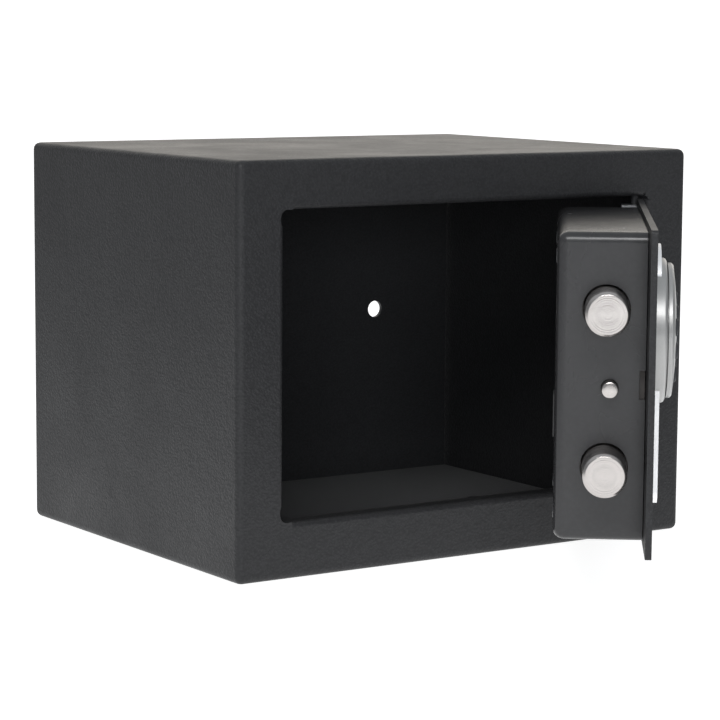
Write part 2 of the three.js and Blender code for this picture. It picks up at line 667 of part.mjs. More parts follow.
function coverPlate(grow, y0, y1) {
  const wide = COVER_WIDTH / 2 + grow;
  const high = COVER_HEIGHT / 2 + grow;
  return roundedPlate(
    lockCentre - wide,
    lockCentre + wide,
    keyLockHeight - high,
    keyLockHeight + high,
    COVER_CORNER + grow,
    y0,
    y1,
  );
}

function shaftBush() {
  const inner = SHAFT_DIAMETER / 2 + RUNNING;
  const behind = PLATE + SEAT;
  const bush = join(
    barY(BUSH_DIAMETER / 2, lockCentre, lockHeight, bossFloor + SEAT, behind + BUSH_FLANGE),
    barY(BUSH_FLANGE_DIAMETER / 2, lockCentre, lockHeight, behind, behind + BUSH_FLANGE),
  );
  return mesh("shaft_bush", cut(bush, barY(inner, lockCentre, lockHeight, bossFloor, 2 * behind)), brass);
}

// Pieces of the knob, in a frame on its axis, as it stands with the bolts thrown.
function crownHeight(radius) {
  const reach = KNOB_DIAMETER / 2 - KNOB_EDGE;
  const sphere = (reach * reach + KNOB_CROWN * KNOB_CROWN) / (2 * KNOB_CROWN);
  return Math.sqrt(sphere * sphere - radius * radius) - (sphere - KNOB_CROWN);
}

const knobFace = (radius) => knobRimFace - KNOB_EDGE - crownHeight(radius);

function keyPlaces() {
  const places = [];
  for (let row = 0; row < KEY_ROWS; row++) {
    for (let column = 0; column < KEY_COLUMNS; column++) {
      const x = (column - (KEY_COLUMNS - 1) / 2) * KEY_COLUMN_PITCH;
      const z = ((KEY_ROWS - 1) / 2 - row) * KEY_ROW_PITCH;
      places.push([x, z]);
    }
  }
  return places;
}

function knobCap() {
  const radius = KNOB_DIAMETER / 2;
  const skirt = KNOB_SKIRT_DIAMETER / 2;
  const crown = [];
  for (let i = 0; i <= KNOB_CROWN_STEPS; i++) {
    const r = ((radius - KNOB_EDGE) * i) / KNOB_CROWN_STEPS;
    crown.push([r, knobFace(r)]);
  }
  const rim = [[radius, knobRimFace], [radius, knobBack], [skirt, knobBack]];
  let cap = turned([...crown, ...rim, [skirt, skirtEnd], [0, skirtEnd]], LARGE_ROUND);
  cap = cut(cap, barY(cavityRadius, 0, 0, knobRoof, 0, LARGE_ROUND));
  for (const [x, z] of keyPlaces()) {
    cap = cut(cap, barY(KEY_DIAMETER / 2 + RUNNING, x, z, 2 * knobFace(0), 0, SMALL_ROUND));
  }
  return mesh("knob_cap", cap, silverPlastic);
}

function keypadBoard() {
  return mesh("keypad_board", barY(cavityRadius - SEAT, 0, 0, boardFace, boardBack), greenBoard);
}

function knobHub() {
  const radius = cavityRadius - SEAT;
  const inner = radius - KNOB_WALL;
  const hub = join(
    cut(barY(radius, 0, 0, hubRimFace, hubBack), barY(inner, 0, 0, hubRimFace - OVERCUT, hubFace)),
    barY(HUB_BOSS_DIAMETER / 2, 0, 0, hubFace + HUB_DISC / 2, skirtEnd),
  );
  return mesh("knob_hub", cut(hub, shaftBar(SEAT, hubFace, 0)), blackPlastic);
}

// The knob's D-shaped shaft, grown by a clearance for the holes that it drives.
function shaftBar(grow, y0, y1) {
  const radius = SHAFT_DIAMETER / 2 + grow;
  const flat = block(-radius, radius, y0 - OVERCUT, y1 + OVERCUT, SHAFT_FLAT + grow, radius + OVERCUT);
  return cut(barY(radius, 0, 0, y0, y1), flat);
}

function knobShaft() {
  return mesh("knob_shaft", shaftBar(0, hubFace + SEAT, crankBack), zincSteel);
}

// The crank leans back by half the knob's turn, so that its pin moves the same way on both sides.
function crank() {
  const turn = KNOB_TURN / 2;
  const x = -CRANK_RADIUS * Math.sin(turn);
  const z = CRANK_RADIUS * Math.cos(turn);
  const hub = barY(CRANK_HUB_DIAMETER / 2, 0, 0, crankFront, crankBack);
  const nose = barY(CRANK_NOSE_DIAMETER / 2, x, z, crankFront, crankBack);
  const arm = new THREE.BoxGeometry(CRANK_NOSE_DIAMETER, CRANK_THICKNESS, CRANK_RADIUS);
  arm.translate(0, (crankFront + crankBack) / 2, CRANK_RADIUS / 2).rotateY(-turn);
  const pin = barY(CRANK_PIN_DIAMETER / 2, x, z, crankBack - ROOT, leafBack + SEAT, SMALL_ROUND);
  const body = join(hub, nose, solid(arm), pin);
  return mesh("crank", cut(body, shaftBar(SEAT, crankFront - OVERCUT, crankBack + OVERCUT)), zincSteel);
}

function keypadKeys() {
  const names = ["1", "2", "3", "4", "5", "6", "7", "8", "9", "clear", "0", "enter"];
  return keyPlaces().map(([x, z], i) => {
    const radius = KEY_DIAMETER / 2;
    const top = knobFace(Math.hypot(x, z)) - KEY_PROUD;
    const under = knobRoof + SEAT;
    const key = turned(
      [
        [0, top],
        [radius - KEY_EDGE, top],
        [radius, top + KEY_EDGE],
        [radius, under],
        [KEY_FLANGE_DIAMETER / 2, under],
        [KEY_FLANGE_DIAMETER / 2, under + KEY_FLANGE],
        [0, under + KEY_FLANGE],
      ],
      SMALL_ROUND,
    );
    return mesh(`key_${names[i]}`, key.translate([x, 0, z]), keyPlastic);
  });
}

// A round bolt with its spigot, which goes through the carrier.
function bolt(name, z) {
  const radius = BOLT_DIAMETER / 2;
  const body = turned(
    [
      [0, 0],
      [radius - BOLT_CHAMFER, 0],
      [radius, BOLT_CHAMFER],
      [radius, BOLT_LENGTH],
      [SPIGOT_DIAMETER / 2, BOLT_LENGTH],
      [SPIGOT_DIAMETER / 2, BOLT_LENGTH + SPIGOT_LENGTH],
      [0, BOLT_LENGTH + SPIGOT_LENGTH],
    ],
  );
  return mesh(name, body.rotate([0, 0, -90]).translate([BOLT_TIP, BOLT_AXIS, z]), turnedSteel);
}

function guidePin() {
  const end = carrierStart + SPIGOT_LENGTH;
  const pin = barX(GUIDE_PIN_DIAMETER / 2, GUIDE_PIN_AXIS, plateMiddle, GUIDE_PIN_TIP, end, SMALL_ROUND);
  return mesh("guide_pin", pin, turnedSteel);
}

// The bent plate that carries both bolts, with the upright slot that the crank pin works in.
function boltCarrier() {
  const z0 = boltHeights.lower - BOLT_DIAMETER / 2 - CARRIER_MARGIN;
  const z1 = boltHeights.upper + BOLT_DIAMETER / 2 + CARRIER_MARGIN;
  const front = BOLT_AXIS - BOLT_DIAMETER / 2 - CARRIER_MARGIN;
  const armEnd = crankPinU + ARM_END;
  let carrier = join(
    block(carrierStart, carrierStart + CARRIER_SHEET, front, leafBack, z0, z1),
    block(carrierStart, carrierStart + CARRIER_LEAF_WIDTH, leafFront, leafBack, z0, z1),
    block(carrierStart, armEnd, leafFront, leafBack, armBottom, armTop),
  );
  const web = [carrierStart - OVERCUT, carrierStart + CARRIER_SHEET + OVERCUT];
  const leaf = [leafFront - OVERCUT, leafBack + OVERCUT];
  for (const z of Object.values(boltHeights)) {
    carrier = cut(carrier, barX(SPIGOT_DIAMETER / 2 + SEAT, BOLT_AXIS, z, ...web, SMALL_ROUND));
  }
  const slotHalf = CRANK_PIN_DIAMETER / 2 + RUNNING;
  const slotTop = crankPinZ + slotHalf + CRANK_RADIUS * (1 - Math.cos(KNOB_TURN / 2));
  const notchU = solenoidCentre + boltThrow;
  const notchHalf = PLUNGER_DIAMETER / 2 + NOTCH_CLEARANCE;
  return mesh(
    "bolt_carrier",
    cut(
      carrier,
      barX(GUIDE_PIN_DIAMETER / 2 + SEAT, GUIDE_PIN_AXIS, plateMiddle, ...web, SMALL_ROUND),
      block(crankPinU - slotHalf, crankPinU + slotHalf, ...leaf, crankPinZ - slotHalf, slotTop),
      block(notchU - notchHalf, notchU + notchHalf, ...leaf, armBottom - OVERCUT, armBottom + NOTCH_DEPTH),
    ),
    zincSteel,
  );
}

function boltGuide() {
  const u0 = LINING_SETBACK + GUIDE_OFFSET;
  const front = PLATE + SEAT;
  const hole = BOLT_DIAMETER / 2 + RUNNING;
  const z0 = boltHeights.lower - hole - GUIDE_END_MARGIN;
  const z1 = boltHeights.upper + hole + GUIDE_END_MARGIN;
  let guide = join(
    block(u0, u0 + GUIDE_SHEET, front, BOLT_AXIS + hole + GUIDE_MARGIN, z0, z1),
    block(u0, u0 + GUIDE_SHEET + GUIDE_FOOT, front, front + GUIDE_SHEET, z0, z1),
  );
  const web = [u0 - OVERCUT, u0 + GUIDE_SHEET + OVERCUT];
  for (const z of Object.values(boltHeights)) {
    guide = cut(guide, barX(hole, BOLT_AXIS, z, ...web));
  }
  const pinHole = barX(GUIDE_PIN_DIAMETER / 2 + RUNNING, GUIDE_PIN_AXIS, plateMiddle, ...web, SMALL_ROUND);
  return mesh("bolt_guide", cut(guide, pinHole), phosphatedSteel);
}

// The locking solenoid stands below the carrier's arm and its plunger rises into the arm's notch.
const plungerAxis = (leafFront + leafBack) / 2;
const plungerTip = armBottom - PLUNGER_CLEARANCE;
const solenoidTop = plungerTip - SOLENOID_NECK;

function solenoidBody() {
  const half = SOLENOID_WIDTH / 2;
  const deep = SOLENOID_DEPTH / 2;
  const bottom = solenoidTop - SOLENOID_HEIGHT;
  const x0 = solenoidCentre - half;
  const x1 = solenoidCentre + half;
  const coil = block(x0, x1, plungerAxis - deep, plungerAxis + deep, bottom, solenoidTop);
  const bracket = block(x0, x1, PLATE + SEAT, plungerAxis - deep + ROOT, bottom, bottom + SOLENOID_SHEET);
  const foot = block(x0, x1, PLATE + SEAT, PLATE + SEAT + SOLENOID_SHEET, bottom, solenoidTop);
  const bore = barZ(
    PLUNGER_DIAMETER / 2 + RUNNING,
    solenoidCentre,
    plungerAxis,
    bottom + SOLENOID_SHEET,
    solenoidTop + OVERCUT,
    SMALL_ROUND,
  );
  return mesh("solenoid_body", cut(join(coil, bracket, foot), bore), blackPlastic);
}

function solenoidPlunger() {
  const bottom = solenoidTop - PLUNGER_BURIED;
  const rod = barZ(PLUNGER_DIAMETER / 2, solenoidCentre, plungerAxis, bottom, plungerTip, SMALL_ROUND);
  return mesh("solenoid_plunger", rod, turnedSteel);
}

const barrelFace = housingFace + COVER_THICKNESS + 2 * SEAT;

function keyBarrel() {
  const barrel = barY(BARREL_DIAMETER / 2, lockCentre, keyLockHeight, barrelFace, BARREL_REACH);
  const nut = roundedPlate(
    lockCentre - NUT_WIDTH / 2,
    lockCentre + NUT_WIDTH / 2,
    keyLockHeight - NUT_WIDTH / 2,
    keyLockHeight + NUT_WIDTH / 2,
    NUT_CORNER,
    PLATE + SEAT,
    PLATE + SEAT + NUT_THICKNESS,
  );
  const bore = [barrelFace - OVERCUT, BARREL_REACH + OVERCUT];
  const hole = barY(PLUG_DIAMETER / 2 + RUNNING, lockCentre, keyLockHeight, ...bore);
  return mesh("key_barrel", cut(join(barrel, nut), hole), zincSteel);
}

function keyPlug() {
  const face = barrelFace + PLUG_PROUD;
  const tailEnd = BARREL_REACH + CAM_THICKNESS + 2 * SEAT;
  const plug = join(
    barY(PLUG_DIAMETER / 2, lockCentre, keyLockHeight, face, BARREL_REACH),
    barY(PLUG_TAIL_DIAMETER / 2, lockCentre, keyLockHeight, BARREL_REACH - ROOT, tailEnd, SMALL_ROUND),
  );
  const half = KEYWAY_WIDTH / 2;
  const high = KEYWAY_HEIGHT / 2;
  const keyway = block(
    lockCentre - half,
    lockCentre + half,
    face - OVERCUT,
    face + KEYWAY_DEPTH,
    keyLockHeight - high,
    keyLockHeight + high,
  );
  return mesh("key_plug", cut(plug, keyway), brass);
}

function keyCam() {
  const y0 = BARREL_REACH + SEAT;
  const half = CAM_WIDTH / 2;
  const cam = roundedPlate(
    lockCentre - half,
    lockCentre + half,
    keyLockHeight - CAM_LENGTH,
    keyLockHeight + half,
    CAM_CORNER,
    y0,
    y0 + CAM_THICKNESS,
  );
  const bore = [y0 - OVERCUT, y0 + CAM_THICKNESS + OVERCUT];
  const hole = barY(PLUG_TAIL_DIAMETER / 2 + SEAT, lockCentre, keyLockHeight, ...bore, SMALL_ROUND);
  return mesh("key_cam", cut(cam, hole), zincSteel);
}

function keyCover() {
  return mesh("key_cover", coverPlate(0, housingFace, housingFace + COVER_THICKNESS), silverPlastic);
}

const cellHeight = (i) => holderBottom + HOLDER_WALL + SEAT + CELL_DIAMETER / 2 + i * CELL_PITCH;

function batteryHolder() {
  const tray = block(holderStart, holderEnd, holderFloor - HOLDER_WALL, holderRim, holderBottom, holderTop);
  const hollow = block(
    holderStart + HOLDER_WALL,
    holderEnd - HOLDER_WALL,
    holderFloor,
    holderRim + OVERCUT,
    holderBottom + HOLDER_WALL,
    holderTop - HOLDER_WALL,
  );
  const legs = [];
  for (const u of [holderStart, holderEnd - HOLDER_LEG]) {
    for (const z of [holderBottom, holderTop - HOLDER_LEG]) {
      const legEnd = holderFloor - HOLDER_WALL / 2;
      legs.push(block(u, u + HOLDER_LEG, PLATE + SEAT, legEnd, z, z + HOLDER_LEG));
    }
  }
  return mesh("battery_holder", join(cut(tray, hollow), ...legs), blackPlastic);
}

function batteries() {
  const cells = [];
  for (let i = 0; i < CELL_COUNT; i++) {
    const y = holderRim - SEAT - CELL_DIAMETER / 2;
    const start = holderStart + HOLDER_WALL + CELL_END_GAP;
    const length = CELL_LENGTH - CELL_NUB;
    const flipped = i % 2 === 1;
    const body = flipped ? start : start + CELL_NUB;
    const nub = flipped ? start + length - ROOT : start;
    const cell = join(
      barX(CELL_DIAMETER / 2, y, cellHeight(i), body, body + length),
      barX(CELL_NUB_DIAMETER / 2, y, cellHeight(i), nub, nub + CELL_NUB + ROOT, SMALL_ROUND),
    );
    cells.push(mesh(`battery_${i + 1}`, cell, cellWrap));
  }
  return cells;
}

function batteryCover() {
  const { x0, x1, z0, z1 } = coverOpening;
  const ribs = [];
  const middle = (z0 + z1) / 2;
  for (let i = 0; i < RIB_COUNT; i++) {
    const u = x0 + RIB_START + i * RIB_PITCH;
    const half = RIB_LENGTH / 2;
    const root = liningBack - LINING_WALL / 2;
    ribs.push(block(u, u + RIB_WIDTH, root, liningBack + RIB_HEIGHT, middle - half, middle + half));
  }
  const sheet = block(x0 + SEAT, x1 - SEAT, liningRoof, liningBack, z0 + SEAT, z1 - SEAT);
  return mesh("battery_cover", join(sheet, ...ribs), satinBlack);
}

function circuitPosts() {
  const edge = CIRCUIT_POST_EDGE;
  const places = [];
  for (const u of [circuitStart + edge, circuitEnd - edge]) {
    for (const z of [circuitBottom + edge, circuitTop - edge]) {
      places.push([u, z]);
    }
  }
  return places;
}

function circuitBoard() {
  const y0 = circuitBack - CIRCUIT_THICKNESS;
  const root = y0 + CIRCUIT_THICKNESS / 2;
  const low = circuitBottom + PART_EDGE;
  const high = circuitTop - PART_EDGE;
  const chip = circuitStart + CHIP_START;
  const buzzer = circuitStart + BUZZER_START;
  const socket = circuitStart + SOCKET_START;
  const board = join(
    block(circuitStart, circuitEnd, y0, circuitBack, circuitBottom, circuitTop),
    block(chip, chip + CHIP_SIZE, y0 - CHIP_RISE, root, low, low + CHIP_SIZE),
    block(buzzer, buzzer + BUZZER_SIZE, y0 - BUZZER_RISE, root, high - BUZZER_SIZE, high),
    block(socket, socket + SOCKET_LENGTH, y0 - SOCKET_RISE, root, high - SOCKET_HEIGHT, high),
  );
  return mesh("circuit_board", board, greenBoard);
}

function resetButton() {
  const flangeBack = liningRoof - SEAT;
  const front = flangeBack - RESET_FLANGE;
  const face = liningBack - RESET_RECESS;
  const button = join(
    barY(RESET_DIAMETER / 2, resetU, resetZ, front, face, SMALL_ROUND),
    barY(RESET_FLANGE_DIAMETER / 2, resetU, resetZ, front, flangeBack, SMALL_ROUND),
  );
  return mesh("reset_button", button, redPlastic);
}

function knobAssembly() {
  const knob = new THREE.Group();
  knob.position.set(lockCentre, 0, lockHeight);
  knob.rotation.y = KNOB_TURN; // turned back, with the bolts drawn in
  knob.add(knobCap(), keypadBoard(), knobHub(), knobShaft(), crank(), ...keypadKeys());
  return knob;
}

function doorAssembly() {
  const door = new THREE.Group();
  door.position.set(-hingeU, -HINGE_DEPTH, 0);
  door.add(
    doorPlate(),
    doorLining(),
    ...liningScrews(),
    ...hingePieces("upper", plateTop, 1),
    ...hingePieces("lower", plateBottom, -1),
    lockHousing(),
    shaftBush(),
    boltGuide(),
    bolt("bolt_upper", boltHeights.upper),
    bolt("bolt_lower", boltHeights.lower),
    boltCarrier(),
    guidePin(),
    solenoidBody(),
    solenoidPlunger(),
    keyBarrel(),
    keyPlug(),
    keyCam(),
    keyCover(),
    batteryHolder(),
    ...batteries(),
    batteryCover(),
    circuitBoard(),
    resetButton(),
    knobAssembly(),
  );
  const hinge = new THREE.Group();
  hinge.position.set(hingeX, HINGE_DEPTH, 0);
  hinge.rotation.z = DOOR_OPEN;
  hinge.add(door);
  return hinge;
}

const safe = new THREE.Group();
safe.add(bodyShell(), backPanel(), floorMat(), doorAssembly());
safe.position.y = -DEPTH / 2;

export default safe;
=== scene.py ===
"""The finishes and fine pieces of a small furniture safe, and the studio that it is shown in."""

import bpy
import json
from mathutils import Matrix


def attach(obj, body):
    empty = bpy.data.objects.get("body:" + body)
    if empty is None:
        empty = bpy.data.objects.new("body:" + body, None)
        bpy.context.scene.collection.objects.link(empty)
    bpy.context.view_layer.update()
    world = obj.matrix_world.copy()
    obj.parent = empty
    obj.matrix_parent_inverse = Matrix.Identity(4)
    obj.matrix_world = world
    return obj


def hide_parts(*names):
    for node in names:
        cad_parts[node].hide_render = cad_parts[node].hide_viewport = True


bl_info = {
    "name": "Furniture Safe",
    "version": (1, 0, 0),
    "blender": (4, 5, 0),
    "location": "3D View > Sidebar > Safe",
    "description": "Dresses a small furniture safe and sets it in a studio",
    "category": "Object",
}

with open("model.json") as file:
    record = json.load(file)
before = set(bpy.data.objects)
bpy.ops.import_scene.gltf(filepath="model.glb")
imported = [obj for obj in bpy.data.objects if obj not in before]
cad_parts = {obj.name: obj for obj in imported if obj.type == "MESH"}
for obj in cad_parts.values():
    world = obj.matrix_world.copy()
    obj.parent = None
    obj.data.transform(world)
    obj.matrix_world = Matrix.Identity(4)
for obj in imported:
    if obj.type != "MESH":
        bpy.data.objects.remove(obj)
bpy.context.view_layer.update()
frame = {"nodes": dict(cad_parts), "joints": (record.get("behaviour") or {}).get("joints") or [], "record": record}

import json
import math

import bmesh
import bpy
from bpy.props import FloatProperty, FloatVectorProperty, PointerProperty
from mathutils import Matrix, Vector

MM = 0.001

BOLT_CHAMFER = 1 * MM
RING_WIDTH = 2.1 * MM
NUMBER_SIZE = 4.2 * MM
STROKE_WIDTH = 0.42 * MM
PRINT_DEPTH = 0.16 * MM
SILVER_METALLIC = 0.85
HOUSING_METALLIC = 0.7

SENSOR_WIDTH = 36
FLOOR_RADIUS = 6.0
SAFE_MIDDLE = (0, 0, 0.1)
FILL_PLACE = (-1.1, -1.9, 0.35)
FILL_SIZE = (0.8, 0.5)
FILL_TINT = (0.93, 0.97, 1.0)
STRIP_PLACE = (-1.3, -1.65, 1.6)
STRIP_SIZE = (1.2, 0.55)

# Cosines of the angle from the studio's far end, and from straight up, between which the surround changes
FAR_END_EDGE = (0.55, 0.93)
OVERHEAD_EDGE = (0.35, 0.75)

JOINTS = {joint["name"]: joint for joint in frame["joints"]}
BODY_OF = {
    node: body
    for body, nodes in frame["record"]["behaviour"]["bodies"].items()
    for node in nodes
}
SLOT_OF = {part["node"]: part["material_slot"] for part in frame["record"]["subparts"]}

# The open door has a frame of its own: ALONG runs from its free edge to its hinge, INWARD from its outer
# face to the lining.
ALONG = -Vector(JOINTS["bolt_throw"]["axis"]).normalized()
INWARD = -Vector(JOINTS["knob_turn"]["axis"]).normalized()
UP = Vector((0, 0, 1))
KNOB_MIDDLE = Vector(JOINTS["knob_turn"]["pos_m"])

KEY_NAMES = ("1", "2", "3", "4", "5", "6", "7", "8", "9", "clear", "0", "enter")


# Settings


class SafeFinishes(bpy.types.PropertyGroup):
    """Colours and sizes of the safe's finishes."""

    powder_colour: FloatVectorProperty(
        name="Powder Coat",
        description="Colour of the powder coat on the cabinet and the door plate",
        subtype="COLOR", size=3, min=0, max=1, default=(0.02, 0.02, 0.0212),
    )
    powder_roughness: FloatProperty(
        name="Powder Roughness", description="Roughness of the powder coat",
        subtype="FACTOR", min=0, max=1, default=0.46,
    )
    grain_size: FloatProperty(
        name="Grain Size", description="Width of one pebble of the powder coat's grain",
        unit="LENGTH", min=0.0001, max=0.01, default=1.0 * MM,
    )
    grain_depth: FloatProperty(
        name="Grain Depth", description="Depth of the powder coat's grain",
        unit="LENGTH", min=0, max=0.001, default=0.11 * MM,
    )
    lining_colour: FloatVectorProperty(
        name="Lining", description="Colour of the paint on the door's lining",
        subtype="COLOR", size=3, min=0, max=1, default=(0.024, 0.0238, 0.025),
    )
    lining_roughness: FloatProperty(
        name="Lining Roughness", description="Roughness of the paint on the door's lining",
        subtype="FACTOR", min=0, max=1, default=0.24,
    )
    steel_colour: FloatVectorProperty(
        name="Turned Steel", description="Colour of the bolts and the guide pin",
        subtype="COLOR", size=3, min=0, max=1, default=(0.525, 0.497, 0.482),
    )
    zinc_colour: FloatVectorProperty(
        name="Zinc Plate", description="Colour of the zinc plated inner pieces",
        subtype="COLOR", size=3, min=0, max=1, default=(0.55, 0.56, 0.58),
    )
    silver_colour: FloatVectorProperty(
        name="Silver Paint", description="Colour of the knob, its housing and the key cover",
        subtype="COLOR", size=3, min=0, max=1, default=(0.45, 0.45, 0.445),
    )
    housing_colour: FloatVectorProperty(
        name="Housing Paint", description="Colour of the housing's plate, outside the ring",
        subtype="COLOR", size=3, min=0, max=1, default=(0.98, 0.98, 0.99),
    )
    ring_pitch: FloatProperty(
        name="Ring Pitch", description="Distance between the turned rings on steel and silver",
        unit="LENGTH", min=0.00001, max=0.002, default=0.22 * MM,
    )
    numeral_colour: FloatVectorProperty(
        name="Numerals", description="Colour of the numbers printed on the keys",
        subtype="COLOR", size=3, min=0, max=1, default=(0.78, 0.8, 0.8),
    )


class SafeStudio(bpy.types.PropertyGroup):
    """The camera, the floor and the lights."""

    studio_turn: FloatProperty(
        name="Studio Turn", description="Direction of the studio's axis, from +Y towards +X",
        subtype="ANGLE", default=math.radians(33.75),
    )
    camera_place: FloatVectorProperty(
        name="Camera", description="Where the camera stands", subtype="TRANSLATION", size=3,
        default=(-0.64393, -0.96812, 0.22246),
    )
    camera_yaw: FloatProperty(
        name="Yaw", description="Turn of the view from +Y towards +X",
        subtype="ANGLE", default=math.radians(33.75),
    )
    camera_pitch: FloatProperty(
        name="Pitch", description="Tilt of the view below the horizon",
        subtype="ANGLE", default=math.radians(7.28),
    )
    camera_roll: FloatProperty(
        name="Roll", description="Roll of the view", subtype="ANGLE", default=math.radians(0.4),
    )
    lens: FloatProperty(
        name="Lens", description="Focal length on a 36 mm sensor, in millimetres",
        unit="CAMERA", min=10, max=500, default=130.56,
    )
    floor_colour: FloatVectorProperty(
        name="Floor", description="Colour of the studio floor",
        subtype="COLOR", size=3, min=0, max=1, default=(0.5, 0.5, 0.5),
    )
    # The floor's own emission is painted light, bright in its lane and dimmer beside it.
    floor_painted_glow: FloatProperty(
        name="Floor Glow", description="Brightness of the floor's lit lane",
        min=0, max=2, default=0.88,
    )
    floor_edge_painted_glow: FloatProperty(
        name="Floor Edge Glow", description="Brightness of the floor beside its lit lane",
        min=0, max=2, default=0.16,
    )
    lane_half_width: FloatProperty(
        name="Lane", description="Half the width of the floor's lit lane, in front of the safe",
        unit="LENGTH", min=0, max=5, default=0.16,
    )
    lane_fade_width: FloatProperty(
        name="Lane's Fade", description="Distance from the studio's axis at which the lane has faded",
        unit="LENGTH", min=0, max=5, default=0.5,
    )
    lane_flare_start: FloatProperty(
        name="Lane's Flare", description="Point on the axis past which the lane gains its width each metre",
        unit="LENGTH", min=-5, max=5, default=-0.163,
    )
    backdrop_strength: FloatProperty(
        name="Backdrop", description="Brightness of the surround behind the safe",
        min=0, max=4, default=1.45,
    )
    side_strength: FloatProperty(
        name="Sides", description="Brightness of the surround on every other side",
        min=0, max=4, default=0.28,
    )
    ceiling_strength: FloatProperty(
        name="Ceiling", description="Brightness of the surround overhead",
        min=0, max=4, default=0.55,
    )
    warm_tint: FloatVectorProperty(
        name="Backdrop Tint", description="Colour of the surround behind the safe",
        subtype="COLOR", size=3, min=0, max=1, default=(1.0, 0.955, 0.885),
    )
    cool_tint: FloatVectorProperty(
        name="Side Tint", description="Colour of the surround on every other side",
        subtype="COLOR", size=3, min=0, max=1, default=(0.92, 0.96, 1.0),
    )
    fill_power: FloatProperty(
        name="Fill Light", description="Power of the broad, low light in front",
        unit="POWER", min=0, max=500, default=24,
    )
    strip_power: FloatProperty(
        name="Strip Light", description="Power of the long, narrow light over the camera",
        unit="POWER", min=0, max=500, default=28,
    )


# Where things are


def reach(node, direction):
    """How far a CAD node reaches along a direction, as its least and greatest distance from the origin."""
    steps = [direction.dot(v.co) for v in frame["nodes"][node].data.vertices]
    return min(steps), max(steps)


def door_point(along, inward, up):
    """A point given in the door's own frame."""
    return ALONG * along + INWARD * inward + UP * up


def middle(node):
    """The centre of a node of the door, as its three distances in the door's frame."""
    return [sum(reach(node, axis)) / 2 for axis in (ALONG, INWARD, UP)]


def half_height(node):
    """Half the upright size of a node, which is a round one's radius."""
    low, high = reach(node, UP)
    return (high - low) / 2


def facing(direction, place, upward=UP):
    """A matrix at a place, its Z axis along a direction and its Y axis as near to upward as it gets."""
    z = direction.normalized()
    x = upward.cross(z).normalized()
    y = z.cross(x)
    matrix = Matrix((x, y, z)).transposed().to_4x4()
    matrix.translation = place
    return matrix


# Node trees


def add(tree, kind, **values):
    """Adds a node. Values set its attributes, and inputs holds what its sockets are given."""
    node = tree.nodes.new(kind)
    inputs = values.pop("inputs", {})
    for name, value in values.items():
        setattr(node, name, value)
    for name, value in inputs.items():
        socket = node.inputs[name]
        if isinstance(value, bpy.types.NodeSocket):
            tree.links.new(value, socket)
        else:
            socket.default_value = value
    return node


def sum_of(tree, operation, first, second=0.0, third=0.0):
    """A Math node's result."""
    node = add(tree, "ShaderNodeMath", operation=operation)
    for socket, value in zip(node.inputs, (first, second, third)):
        if isinstance(value, bpy.types.NodeSocket):
            tree.links.new(value, socket)
        else:
            socket.default_value = value
    return node.outputs[0]


def ramp(tree, value, low, high, to_low=0.0, to_high=1.0):
    """A value mapped from one range to another, and held inside it."""
    node = add(
        tree, "ShaderNodeMapRange", clamp=True,
        inputs={"Value": value, "From Min": low, "From Max": high, "To Min": to_low, "To Max": to_high},
    )
    return node.outputs["Result"]


def blend_colours(tree, factor, first, second):
    """Two colours mixed by a factor."""
    node = add(tree, "ShaderNodeMix", data_type="RGBA")
    for socket, value in ((node.inputs[0], factor), (node.inputs[6], first), (node.inputs[7], second)):
        if isinstance(value, bpy.types.NodeSocket):
            tree.links.new(value, socket)
        else:
            socket.default_value = value
    return node.outputs[2]


def opaque(colour, brightness=1.0):
    """A colour with its fourth value, made lighter or darker."""
    return (colour[0] * brightness, colour[1] * brightness, colour[2] * brightness, 1.0)


def new_group(name, inputs, outputs):
    """A shader node group with its sockets, and its input and output nodes."""
    group = bpy.data.node_groups.new(name, "ShaderNodeTree")
    for label, kind, default in inputs:
        socket = group.interface.new_socket(label, in_out="INPUT", socket_type=kind)
        if default is not None:
            socket.default_value = default
    for label, kind in outputs:
        group.interface.new_socket(label, in_out="OUTPUT", socket_type=kind)
    return group, group.nodes.new("NodeGroupInput"), group.nodes.new("NodeGroupOutput")


def pebble_group():
    """The leather-like grain of a powder coat: soft pebbles with a finer roughness on them."""
    group, given, result = new_group(
        "Pebble Grain",
        [("Vector", "NodeSocketVector", None), ("Size", "NodeSocketFloat", MM)],
        [("Height", "NodeSocketFloat"), ("Tone", "NodeSocketFloat")],
    )
    scale = sum_of(group, "DIVIDE", 1.0, given.outputs["Size"])
    pebbles = add(
        group, "ShaderNodeTexVoronoi", feature="SMOOTH_F1",
        inputs={"Vector": given.outputs["Vector"], "Scale": scale, "Smoothness": 0.6, "Randomness": 1.0},
    )
    ripple = add(
        group, "ShaderNodeTexNoise",
        inputs={"Vector": given.outputs["Vector"], "Scale": sum_of(group, "MULTIPLY", scale, 1.7),
                "Detail": 3.0, "Roughness": 0.6},
    )
    swell = add(
        group, "ShaderNodeTexNoise",
        inputs={"Vector": given.outputs["Vector"], "Scale": sum_of(group, "MULTIPLY", scale, 0.35),
                "Detail": 1.0},
    )
    mound = ramp(group, pebbles.outputs["Distance"], 0.0, 0.75, 1.0, 0.0)
    height = sum_of(group, "MULTIPLY_ADD", ripple.outputs["Fac"], 0.7, mound)
    height = sum_of(group, "MULTIPLY_ADD", swell.outputs["Fac"], 0.5, height)
    group.links.new(height, result.inputs["Height"])
    group.links.new(ramp(group, height, 0.6, 1.7), result.inputs["Tone"])
    return group


